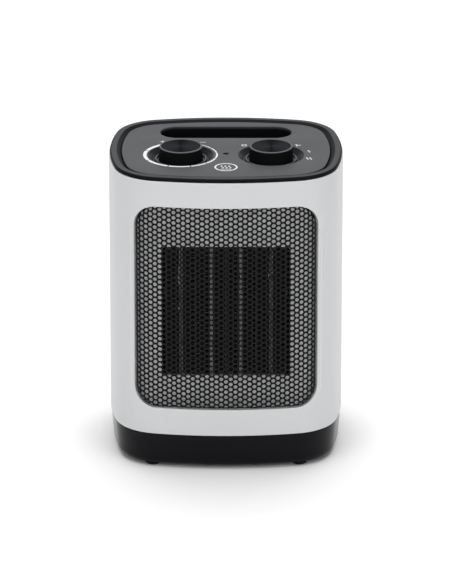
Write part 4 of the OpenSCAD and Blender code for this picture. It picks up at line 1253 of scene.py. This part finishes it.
@dataclass
class Top:
    """Rim, control panel, handle well, collars, printed marks and indicator."""

    plan: Outline
    casing_top: float
    rim_top: float
    panel_top: float
    dials: dict[Dial, tuple[float, float]]
    slot_y: float
    lens_y: float
    dial_r: float = 26.2 * MM
    foot_r: float = 22.0 * MM
    recess: float = 4.0 * MM
    slot_l: float = 106 * MM
    slot_w: float = 28.2 * MM
    well_floor: float = 0.2115
    knob_r: float = 17.7 * MM
    lens_r: float = 2.35 * MM
    ink: float = 0.06 * MM
    rim_loop: float = 10.5 * MM
    hem: float = 2.4 * MM

    def rim(self, paint: Paintbox) -> None:
        """Rim: an upright side, a round shoulder, a level land and a slope down to the panel's gap."""
        sin, cos = quarter(7)
        side, shoulder, crest = 0.9 * MM, 1.5 * MM, self.rim_top
        land_in, slope_in, slope_w, slope_h = 5.9 * MM, 6.4 * MM, 3.5 * MM, 2.4 * MM
        hem_in, hem, seat = 2.8 * MM, self.panel_top - 2.6 * MM, self.casing_top + 0.05 * MM
        outer = np.column_stack([side + shoulder * (1 - cos), crest - shoulder * (1 - sin)])
        land = [[side + shoulder + 0.6 * MM, crest], [land_in, crest]]
        ease = np.linspace(0, 1, 7)
        slope = np.column_stack([slope_in + slope_w * ease, crest - 0.02 * MM - slope_h * ease])
        down = [[slope_in + slope_w, hem], [hem_in, hem], [hem_in, seat], [side + 0.5 * MM, seat],
                [side, self.casing_top + 0.5 * MM]]
        skin = Skin()
        sweep(skin, self.plan, np.vstack([outer, land, slope, down]))
        piece = skin.piece("rim_ring")
        # The rim's land is painted grey above the black, as a painted highlight.
        paint.dress(piece, "black_rim", variant(PaintedHighlightTop, "black_rim", level=crest).material("rim_black"))
        settle(piece, "housing", "top_rim")

    def stadium(self, grow: float, count: int = 200) -> Array:
        """Closed loop with round ends round the handle slot, grown by grow.

        Two half circles of radius w/2 + grow stand about the ends of a line of length l - w.
        """
        run = (self.slot_l - self.slot_w) / 2
        r = self.slot_w / 2 + grow
        half = count // 4
        a = np.linspace(-math.pi / 2, math.pi / 2, half)
        x = np.linspace(-run, run, half)[1:-1]
        right = np.column_stack([run + r * np.cos(a), r * np.sin(a)])
        top = np.column_stack([x[::-1], np.full(len(x), r)])
        loop = np.vstack([right, top, -right, -top])
        return loop + [0, self.slot_y]

    def panel(self, paint: Paintbox) -> None:
        """Panel: a level sheet with round edges, two conical recesses, the slot and the lens hole."""
        z, edge = self.panel_top, 0.6 * MM
        sin, cos = quarter(5)
        skin = Skin()
        drop = [[self.rim_loop, z - self.hem], [self.rim_loop, z - edge]]
        border = np.column_stack([self.rim_loop + edge * (1 - cos), z - edge * (1 - sin)])
        sweep(skin, self.plan, np.vstack([drop, border[1:]]), closed=False)
        fillet = 0.7 * MM
        holes: list[Array] = [self.stadium(fillet)]
        rows = [level_loop(self.stadium(fillet * (1 - n)), z - fillet * (1 - c)) for n, c in zip(sin, cos)]
        rows.append(level_loop(self.stadium(0.0), z - self.hem))
        skin.grid(np.array(rows), round_cols=True)
        turn = np.linspace(0, 2 * math.pi, 128, endpoint=False)
        unit = np.column_stack([np.cos(turn), np.sin(turn)])
        for x, y in self.dials.values():
            holes.append(unit * (self.dial_r + 0.5 * MM) + [x, y])
            lathe(skin, (x, y), self.recess_profile(), 128)
        lens = unit[::4] * (self.lens_r + 0.25 * MM)
        holes.append(lens + [0, self.lens_y])
        steps = ((1.0, 0.0), (0.92, 0.25 * MM), (0.92, self.hem))
        rows = [level_loop(lens * share + [0, self.lens_y], z - drop) for share, drop in steps]
        skin.grid(np.array(rows), round_cols=True)
        flat_sheet(skin, z, self.plan.loop(float(border[-1, 0])), holes)
        piece = skin.piece("panel_top", closed=False)
        turn_faces(piece, Vector((0, 0, 1)))
        thicken(piece, 1.4 * MM)
        x, y = self.dials[Dial.MODE]
        # The panel's finish paints its dial recesses dark, partly as painted shade.
        finish = variant(Panel, "grey_panel", dials=(x, y, 0.0))
        paint.dress(piece, "grey_panel", finish.material("panel_grey"))
        settle(piece, "housing", "control_panel")

    def recess_profile(self) -> Array:
        """(r, z) of a dial recess: a rolled edge, a cone, a fillet at its foot and a level floor."""
        z = self.panel_top
        sin, cos = quarter(4)
        roll = 0.5 * MM
        edge = np.column_stack([self.dial_r + roll * (1 - sin), z - roll * 0.8 * (1 - cos)])
        floor = z - self.recess
        cone = [[self.foot_r + 0.6 * MM, floor + 0.5 * MM], [self.foot_r + 0.2 * MM, floor + 0.12 * MM],
                [self.foot_r - 0.4 * MM, floor], [9 * MM, floor], [5.3 * MM, floor]]
        return np.vstack([edge, cone])

    def well(self, paint: Paintbox) -> None:
        """Handle well: walls with a slight draft, a round foot and a floor closed on its middle line."""
        top = self.panel_top - 2.5 * MM
        foot = 7 * MM
        sin, cos = quarter(7)
        wall = np.array([[2 * MM, top], [-0.5 * MM, top], [-0.9 * MM, (top + self.well_floor) / 2],
                         [-1.3 * MM, self.well_floor + foot]])
        bend = np.column_stack([-1.3 * MM - foot * (1 - cos), self.well_floor + foot * (1 - sin)])[1:]
        floor = [[-self.slot_w / 2 + 1 * MM, self.well_floor], [-self.slot_w / 2, self.well_floor]]
        profile = np.vstack([wall, bend, floor])
        rows = [level_loop(self.stadium(grow), z) for grow, z in profile]
        skin = Skin()
        skin.grid(np.array(rows), round_cols=True)
        piece = skin.piece("grip_well", closed=False)
        turn_faces(piece, Vector((0, 0, 1)))
        thicken(piece, 1.4 * MM)
        paint.dress(piece, "black_inner_plastic")
        settle(piece, "housing", "handle_well")

    def collars(self, paint: Paintbox) -> None:
        """Collar round each knob: a raised ring with a round crest."""
        z = self.panel_top - self.recess
        inner, outer, crest = self.knob_r + 1.5 * MM, self.knob_r + 3.3 * MM, 1.6 * MM
        half = (outer - inner) / 2
        a = np.linspace(0, math.pi, 13)
        dome = np.column_stack([(inner + outer) / 2 + half * np.cos(a), z + crest - half + half * np.sin(a)])
        foot = z + 0.02 * MM
        profile = np.vstack([[[outer, foot]], dome, [[inner, foot]], [[outer, foot]]])
        skin = Skin()
        for centre in self.dials.values():
            lathe(skin, centre, profile, 128)
        piece = skin.piece("dial_collars")
        gloss = Moulded((0.012, 0.012, 0.013), 0.22, 0.1, 0.3 * MM, 0.002 * MM, 0.5)
        paint.dress(piece, "grey_panel", gloss.material("collar_gloss"))
        settle(piece, "housing", "knob_collars")

    def lens(self, paint: Paintbox) -> None:
        """Indicator lens: a low dome in its hole, on a stem."""
        z = self.panel_top
        r = self.lens_r - 0.25 * MM
        a = np.linspace(0, math.pi / 2, 9)
        dome = np.column_stack([r * np.sin(a), z - 0.35 * MM + 0.4 * MM * np.cos(a)])
        dome[0, 0] = 0
        profile = np.vstack([dome, [[r, z - 3.3 * MM], [0, z - 3.3 * MM]]])
        skin = Skin()
        lathe(skin, (0.0, self.lens_y), profile, 48)
        piece = skin.piece("indicator_dome")
        paint.dress(piece, "red_lens")
        settle(piece, "housing", "indicator_lens")

    def build(self, paint: Paintbox) -> None:
        """Builds and dresses every piece of the top."""
        for make in (self.rim, self.panel, self.well, self.collars, self.lens):
            make(paint)
        Prints(self.panel_top, self.ink, self.dials).build(paint)


@dataclass
class Prints:
    """White marks printed on the panel: the temperature band, the mode signs and a heat sign."""

    level: float
    ink: float
    dials: dict[Dial, tuple[float, float]]
    band_out: tuple[float, float] = (30.4 * MM, 29.4 * MM)
    thick: float = 3.2 * MM
    thin: float = 0.85 * MM
    line: float = 0.9 * MM
    skin: Skin = field(default_factory=Skin)

    def slab(self, rows: Array) -> None:
        """Adds a raised patch from a (rows, cols, 2) grid: its top, and a skirt down to the panel."""
        n, m = rows.shape[:2]
        top = np.concatenate([rows, np.full((n, m, 1), self.level + self.ink)], -1)
        self.skin.grid(top)
        rim = np.concatenate([top[0], top[1:, -1], top[-1, -2::-1], top[-2:0:-1, 0]])
        foot = rim.copy()
        foot[:, 2] = self.level - self.ink
        self.skin.grid(np.array([rim, foot]), round_cols=True)
        low = top.copy()
        low[..., 2] = self.level - self.ink
        self.skin.grid(low)

    def arc(self, centre: Sequence[float], r_in: Callable[[Array], Array], r_out: Callable[[Array], Array],
            start: float, end: float) -> None:
        """Band between two radii and two angles, in degrees from the front, positive to the right."""
        t = np.radians(np.linspace(start, end, max(3, int(abs(end - start) / 2.5) + 2)))
        unit = np.stack([np.sin(t), -np.cos(t)], -1)
        lines = [unit * r(t)[:, None] + centre for r in (r_in, lambda q: (r_in(q) + r_out(q)) / 2, r_out)]
        self.slab(np.array(lines))

    def stroke(self, path: Array, width: float) -> None:
        """Line of even width along an open path, with square ends."""
        step = np.gradient(path, axis=0)
        step /= np.linalg.norm(step, axis=1, keepdims=True)
        across = np.column_stack([-step[:, 1], step[:, 0]]) * width / 2
        self.slab(np.array([path - across, path, path + across]))

    def ring(self, centre: Sequence[float], r: float, width: float) -> None:
        """Closed round line."""
        t = np.linspace(0, 2 * math.pi, 72, endpoint=False)
        unit = np.column_stack([np.cos(t), np.sin(t)])
        rows = []
        for radius, z in ((r - width / 2, -self.ink), (r - width / 2, self.ink), (r + width / 2, self.ink),
                          (r + width / 2, -self.ink)):
            rows.append(np.column_stack([unit * radius + centre, np.full(len(t), self.level + z)]))
        self.skin.grid(np.array(rows), round_rows=True, round_cols=True)

    def wave(self, centre: Sequence[float], length: float, swing: float, upright: bool = True) -> None:
        """One rising heat wave: x = swing sin(2 pi u) along a line of that length."""
        u = np.linspace(0, 1, 17)
        bend, run = swing * np.sin(2 * math.pi * u), (u - 0.5) * length
        path = np.column_stack([bend, run] if upright else [run, bend])
        self.stroke(path + centre, self.line * 0.8)

    def temperature(self) -> None:
        """Band that thins from the hot end to the cool end, cut by gaps, with a plus and a minus."""
        x, y = self.dials[Dial.THERMOSTAT]
        ends = (-151.0, 149.0)
        along = lambda t: (np.degrees(t) - ends[0]) / (ends[1] - ends[0])
        outer = lambda t: self.band_out[0] + (self.band_out[1] - self.band_out[0]) * along(t)
        inner = lambda t: outer(t) - self.thick - (self.thin - self.thick) * along(t)
        cuts = [ends[0], -110, -63, -20, 16, 45, 74, 99, 124, ends[1]]
        gap = 1.1
        for a, b in zip(cuts, cuts[1:]):
            self.arc((x, y), inner, outer, a + gap, b - gap)
        for angle, plus in ((-155, True), (150, False)):
            a = math.radians(angle)
            cx, cy = x + 35.2 * MM * math.sin(a), y - 35.2 * MM * math.cos(a)
            bar = np.linspace(-2.4 * MM, 2.4 * MM, 3)
            self.stroke(np.column_stack([cx + bar, np.full(3, cy)]), self.line * 0.75)
            if plus:
                self.stroke(np.column_stack([np.full(3, cx), cy + bar]), self.line * 0.75)

    def modes(self) -> None:
        """Signs round the mode dial: an empty ring, a fan, one wave and two waves."""
        x, y = self.dials[Dial.MODE]
        radius = 31.5 * MM
        spots = [(x + radius * math.sin(math.radians(a)), y + radius * math.cos(math.radians(a)))
                 for a in (-43, 43, 75, 107)]
        self.ring(spots[0], 1.9 * MM, self.line * 0.8)
        for k in range(3):
            a = math.radians(90 + 120 * k)
            u = np.linspace(0.15, 1, 9)
            turn = a + 0.9 * u
            blade = np.column_stack([np.cos(turn), np.sin(turn)]) * (2.6 * MM * u)[:, None]
            self.stroke(blade + spots[1], self.line)
        self.wave(spots[2], 5 * MM, 0.8 * MM)
        for shift in (-1.3 * MM, 1.3 * MM):
            self.wave((spots[3][0] + shift, spots[3][1]), 5 * MM, 0.8 * MM)

    def heat_sign(self) -> None:
        """Ring in front of the dials with three small heat waves in it."""
        centre = np.array([0.0, self.dials[Dial.MODE][1] - 30 * MM])
        self.ring(centre, 8.6 * MM, 1.3 * MM)
        for shift in (-3 * MM, 0.0, 3 * MM):
            self.wave(centre + [shift, 0.4 * MM], 7 * MM, 0.9 * MM)
        foot = np.column_stack([np.linspace(-4.2 * MM, 4.2 * MM, 5), np.full(5, -4.9 * MM)])
        self.stroke(foot + centre, self.line * 0.9)

    def build(self, paint: Paintbox) -> None:
        """Builds all marks as one piece that rides on the housing."""
        self.temperature()
        self.modes()
        self.heat_sign()
        piece = self.skin.piece("panel_marks")
        paint.dress(piece, "grey_panel", PRINT.material("print_white"))
        settle(piece, "housing")


@dataclass
class Knob:
    """A turning knob with its spun cap."""

    dial: Dial
    centre: tuple[float, float]
    low: float
    top: float
    pointer: float
    foot_r: float = 17.7 * MM
    top_r: float = 17.35 * MM
    cap_r: float = 15.7 * MM
    ribs: int = 90
    rib_depth: float = 0.07 * MM

    def body(self) -> bpy.types.Object:
        """Knob: a ribbed side that leans in, a rolled foot, a chamfer (which build paints bright as a
        highlight) and a recess for the cap.

        The side's radius is its profile plus a small cosine of the angle, which makes the ribs.
        """
        z0, z1 = self.low, self.top
        lean = np.linspace(0, 1, 12)
        side_z = z0 + 0.6 * MM + (z1 - 0.9 * MM - z0 - 0.6 * MM) * lean
        side = np.column_stack([self.foot_r + (self.top_r - self.foot_r) * lean, side_z])
        sin, cos = quarter(5)
        foot = np.column_stack([self.foot_r - 0.5 * MM + 0.5 * MM * sin, z0 + 0.6 * MM * (1 - cos)])
        inner = self.cap_r + 0.05 * MM
        top = np.array([[self.top_r - 0.05 * MM, z1 - 0.7 * MM], [self.top_r - 0.75 * MM, z1 - 0.1 * MM],
                        [self.top_r - 1.0 * MM, z1], [inner + 0.1 * MM, z1 - 0.04 * MM],
                        [inner, z1 - 0.15 * MM], [inner, z1 - 0.9 * MM], [0, z1 - 0.9 * MM]])
        hollow = np.array([[0, z1 - 2.5 * MM], [12.5 * MM, z1 - 2.5 * MM], [12.5 * MM, z0]])
        profile = np.vstack([hollow, foot, side[1:], top])
        steps = self.ribs * 4
        turn = np.linspace(0, 2 * math.pi, steps, endpoint=False)
        on_side = np.zeros(len(profile))
        start = len(hollow) + len(foot)
        on_side[start:start + len(side) - 2] = 1
        wave = on_side[:, None] * self.rib_depth * (np.cos(self.ribs * turn) - 1)[None, :]
        skin = Skin()
        lathe(skin, self.centre, profile, steps, wave)
        return skin.piece(f"{self.dial.value}_grip", sharp=50)

    def cap(self) -> bpy.types.Object:
        """Cap: a spun disc, a little dished, with a rolled edge."""
        z = self.top - 0.28 * MM
        r = np.array([0, 3, 7, 11, 14, 15.0, 15.3, 15.45]) * MM
        dish = z - 0.12 * MM * (1 - (r / self.cap_r) ** 2)
        dish[-2:] -= [0.04 * MM, 0.14 * MM]
        under = [[self.cap_r - 0.05 * MM, z - 0.6 * MM], [0, z - 0.6 * MM]]
        profile = np.vstack([np.column_stack([r, dish]), under])
        skin = Skin()
        lathe(skin, self.centre, profile, 128)
        return skin.piece(f"{self.dial.value}_cap")

    def pointer_rib(self) -> bpy.types.Object:
        """Pointer: a slim rounded rib on the knob's side, from its top edge down."""
        a = math.radians(self.pointer)
        out, across = np.array([math.cos(a), math.sin(a)]), np.array([-math.sin(a), math.cos(a)])
        u = np.linspace(0, 1, 9)
        t = np.linspace(0, 2 * math.pi, 16, endpoint=False)
        z = self.top - 0.9 * MM - 7.5 * MM * u
        half = 0.75 * MM * np.sqrt(np.clip(1 - (2 * u - 1) ** 8, 0.02, 1))
        r = self.top_r + (self.foot_r - self.top_r) * (self.top - z) / (self.top - self.low)
        centre = np.array(self.centre) + out * (r - 0.1 * MM)[:, None]
        ring = centre[:, None, :] + out * (np.sin(t)[None, :, None] * 0.35 * MM)
        ring = ring + across * (half[:, None, None] * np.cos(t)[None, :, None])
        points = np.concatenate([ring, np.broadcast_to(z[:, None, None], (*ring.shape[:2], 1))], -1)
        skin = Skin()
        skin.grid(points, round_cols=True)
        skin.fan(points[0], points[0].mean(0))
        skin.fan(points[-1], points[-1].mean(0))
        return skin.piece(f"{self.dial.value}_pointer")

    def build(self, paint: Paintbox) -> None:
        """Builds and dresses the knob, its cap and its pointer."""
        name = self.dial.value
        grip, cap, rib = self.body(), self.cap(), self.pointer_rib()
        # The knob's chamfer is painted light grey as a painted highlight.
        ribbed = variant(PaintedHighlightTop, "knob_black", level=self.top - 0.5 * MM, fade=0.15 * MM,
                         land=(0.10, 0.105, 0.11))
        paint.dress(grip, "knob_black", ribbed.material(f"grip_{name}"))
        spun = variant(Spun, "knob_metal", centre=self.centre)
        paint.dress(cap, "knob_metal", spun.material(f"spun_{name}"))
        paint.dress(rib, "knob_black", PRINT.material(f"pointer_{name}"))
        settle(grip, f"{name}_dial", f"{name}_knob")
        settle(cap, f"{name}_dial", f"{name}_knob_cap")
        settle(rib, f"{name}_dial")


# ---------------------------------------------------------------------------
# Rear intake
# ---------------------------------------------------------------------------


@dataclass
class Intake:
    """Rear intake grille: a frame that follows the casing, louvre slats and three upright ribs."""

    plan: Outline
    opening: RoundRect
    slats: int = 21
    frame_w: float = 5 * MM

    def ring(self, skin: Skin) -> None:
        """Frame: a closed profile of (growth, inset) carried round the opening's outline."""
        angle = np.linspace(-math.pi, math.pi, 320, endpoint=False)
        sin, cos = quarter(4)
        gap, edge, front, back = -0.35 * MM, 0.5 * MM, 0.7 * MM, 4.5 * MM
        inside = gap - self.frame_w
        outer = [(gap - edge * (1 - n), front + edge * (1 - c)) for n, c in zip(sin, cos)][::-1]
        inner = [(inside + edge * (1 - c), front + edge * (1 - n)) for n, c in zip(sin, cos)][::-1]
        rows = [(gap, back), *outer, *inner, (inside, back)]
        grid = []
        for grow, inset in rows:
            loop = self.opening.ray(angle, grow)
            grid.append(self.plan.place(self.plan.at_x(loop[:, 0]), inset, loop[:, 1], back=True))
        skin.grid(np.array(grid), round_rows=True, round_cols=True)

    def slat(self, skin: Skin, z: float) -> None:
        """Slat: a flat oval leaning down to the outside, carried across the back.

        The oval is (a cos t, b sin t) turned by the lean, in the plane of inset and height.
        """
        depth, _, _ = self.opening.depth(np.zeros(1), np.array([z]))
        room = self.opening.half_w - self.frame_w + 1 * MM
        corner = max(0.0, self.opening.corner - float(depth[0]))
        room -= self.opening.corner - math.sqrt(max(self.opening.corner ** 2 - corner ** 2, 0))
        s = np.linspace(-float(self.plan.at_x(room)), float(self.plan.at_x(room)), 60)
        t = np.linspace(0, 2 * math.pi, 14, endpoint=False)
        lean = math.radians(28)
        wide, tall = (np.sign(wave) * np.abs(wave) ** 0.7 for wave in (np.cos(t), np.sin(t)))
        a, b = 2.0 * MM * wide, 0.75 * MM * tall
        inset = 3.2 * MM + a * math.cos(lean) - b * math.sin(lean)
        height = z + a * math.sin(lean) + b * math.cos(lean)
        points = self.plan.place(s[:, None], inset[None, :], height[None, :], back=True)
        skin.grid(points, round_cols=True)
        skin.fan(points[0], points[0].mean(0))
        skin.fan(points[-1], points[-1].mean(0))

    def rib(self, skin: Skin, s: float) -> None:
        """Upright rib behind the slats, an oval section carried from bottom to top of the frame."""
        reach = self.opening.half_h - 3 * MM
        z = self.opening.mid + np.linspace(-reach, reach, 12)
        t = np.linspace(0, 2 * math.pi, 12, endpoint=False)
        along, inset = s + 1.1 * MM * np.cos(t), 3.6 * MM + 2 * MM * np.sin(t)
        points = self.plan.place(along[None, :], inset[None, :], z[:, None], back=True)
        skin.grid(points, round_cols=True)
        skin.fan(points[0], points[0].mean(0))
        skin.fan(points[-1], points[-1].mean(0))

    def build(self, paint: Paintbox) -> None:
        """Builds and dresses the grille."""
        skin = Skin()
        self.ring(skin)
        pitch = 2 * (self.opening.half_h - self.frame_w) / self.slats
        for k in range(self.slats):
            self.slat(skin, self.opening.mid + (k - (self.slats - 1) / 2) * pitch)
        for s in (-0.5, 0.0, 0.5):
            self.rib(skin, s * self.opening.half_w)
        piece = skin.piece("intake_louvres")
        paint.dress(piece, "black_inner_plastic")
        settle(piece, "housing", "rear_intake_grille")


# ---------------------------------------------------------------------------
# Studio
# ---------------------------------------------------------------------------


@dataclass
class Studio:
    """Camera, lights and floor."""

    elevation: float = 21.0
    distance: float = 4.235
    lens: float = 321.5
    orbit_z: float = 0.103
    look_z: float = 0.1243

    def camera(self) -> None:
        """Long lens in front of the heater, looking slightly down at it."""
        data = bpy.data.cameras.new("camera")
        data.lens, data.sensor_width = self.lens, 36.0
        data.clip_start, data.clip_end = 0.1, 50.0
        cam = bpy.data.objects.new("camera", data)
        e = math.radians(self.elevation)
        cam.location = (0.0, -self.distance * math.cos(e), self.orbit_z + self.distance * math.sin(e))
        aim = Vector((0.0, 0.0, self.look_z)) - cam.location
        cam.rotation_euler = aim.to_track_quat("-Z", "Y").to_euler()
        bpy.context.scene.collection.objects.link(cam)
        bpy.context.scene.camera = cam

    def area(self, name: str, at: Sequence[float], size: tuple[float, float], watts: float) -> None:
        """Area light at a point, turned to the middle of the heater."""
        data = bpy.data.lights.new(name, "AREA")
        data.shape, data.size, data.size_y, data.energy = "RECTANGLE", *size, watts
        lamp = bpy.data.objects.new(name, data)
        lamp.location = at
        lamp.rotation_euler = (Vector((0, 0, 0.13)) - Vector(at)).to_track_quat("-Z", "Y").to_euler()
        bpy.context.scene.collection.objects.link(lamp)

    def build(self) -> None:
        """Builds the camera, a pale floor, three soft lights and a bright surround."""
        self.camera()
        bpy.context.scene.view_settings.view_transform = "Standard"
        self.area("key", (-1.3, -1.9, 1.3), (1.2, 1.6), 12.5)
        self.area("fill", (1.35, -1.75, 1.0), (1.0, 1.6), 10.5)
        self.area("top", (0.0, 0.4, 2.6), (3.0, 3.0), 80)
        world = bpy.data.worlds.new("surround")
        world.use_nodes = True
        graph = Graph(world, "Background")
        x, y, z = graph.axes(graph.node("ShaderNodeTexCoord"))
        up, back, front = (w.math("MAXIMUM", 0.0) for w in (z, y, y * -1.0))
        glow = up * 0.3 + back.math("POWER", 3.0) * 0.95 + front * 0.15 + 0.04
        graph.feed(Color=(1.0, 1.0, 1.0, 1.0), Strength=glow)
        bpy.context.scene.world = world
        skin = Skin()
        span = np.array([-8.0, 8.0])
        x, y = np.meshgrid(span, span, indexing="ij")
        skin.grid(np.stack([x, y, np.zeros((2, 2))], -1)[::-1])
        floor = skin.piece("floor", closed=False)
        matt = Finish((0.94, 0.94, 0.94), 0.85, 0.003, 2 * MM, 0.001 * MM)
        floor.data.materials.append(matt.material("floor_white"))


# ---------------------------------------------------------------------------
# Putting it together
# ---------------------------------------------------------------------------

OUTLET_SIDE = 20.3 * MM
OUTLET_ABOVE = 21.3 * MM
OUTLET_BELOW = 22.2 * MM
OUTLET_CORNER = 17.5 * MM
INTAKE_SIDE = 34 * MM
INTAKE_HALF_H = 66 * MM
INTAKE_CORNER = 14 * MM
WINDOW_HALF_W = 50.7 * MM
WINDOW_HALF_H = 55 * MM
WINDOW_CORNER = 1 * MM
POINTERS = {Dial.THERMOSTAT: 60.0, Dial.MODE: 133.0}


def dress_nodes(paint: Paintbox) -> None:
    """Gives every CAD node, shown or hidden, its slot's procedural material."""
    for part in frame["record"]["subparts"]:
        paint.dress_node(part["node"], part["material_slot"])
        log.info("%s is finished as %s", part["node"], part["material_slot"])


def middle(node: str) -> Vector:
    """Middle of a CAD node's box."""
    low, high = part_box(node)
    return (low + high) / 2


def main() -> None:
    """Builds the studio, then each sub-assembly."""
    Studio().build()
    paint = Paintbox()
    dress_nodes(paint)
    front_low, front_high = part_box("front_casing")
    _, rear_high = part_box("rear_casing")
    plan = Outline(front_high.x - front_low.x, rear_high.y - front_low.y)
    seam = front_high.y
    low, high = front_low.z, front_high.z
    sill, head = low + OUTLET_BELOW, high - OUTLET_ABOVE
    outlet = RoundRect(plan.width / 2 - OUTLET_SIDE, (head - sill) / 2, OUTLET_CORNER, (head + sill) / 2)
    fan_z = middle("fan_impeller").z
    intake = RoundRect(plan.width / 2 - INTAKE_SIDE, INTAKE_HALF_H, INTAKE_CORNER, fan_z)
    screws_low, screws_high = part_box("casing_screws")
    Casing(plan, outlet, intake, low, high, seam, well_x=screws_high.x - SCREW_HEAD,
           well_z=(screws_low.z + SCREW_HEAD, screws_high.z - SCREW_HEAD),
           well_floor=screws_high.y - 1 * MM).build(paint)
    base_low, base_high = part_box("base_tray")
    Base(plan, base_low.z, base_high.z).build(paint)
    tray_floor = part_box("air_duct")[0].y - 2 * MM
    window = RoundRect(WINDOW_HALF_W, WINDOW_HALF_H, WINDOW_CORNER, fan_z)
    Outlet(plan, outlet, window, tray_floor).build(paint)
    HeaterCore().build(paint)
    knobs = {dial: middle(f"{dial.value}_knob_cap") for dial in Dial}
    dials = {dial: (at.x, at.y) for dial, at in knobs.items()}
    knob_low, knob_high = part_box("mode_knob")
    Top(plan, high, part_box("top_rim")[1].z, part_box("control_panel")[1].z, dials, middle("handle_well").y,
        middle("indicator_lens").y).build(paint)
    for dial, pointer in POINTERS.items():
        Knob(dial, dials[dial], knob_low.z, knob_high.z, pointer).build(paint)
    Intake(plan, intake).build(paint)


if __name__ == "__main__":
    logging.basicConfig(level=logging.INFO, format="%(name)s: %(message)s")
    main()
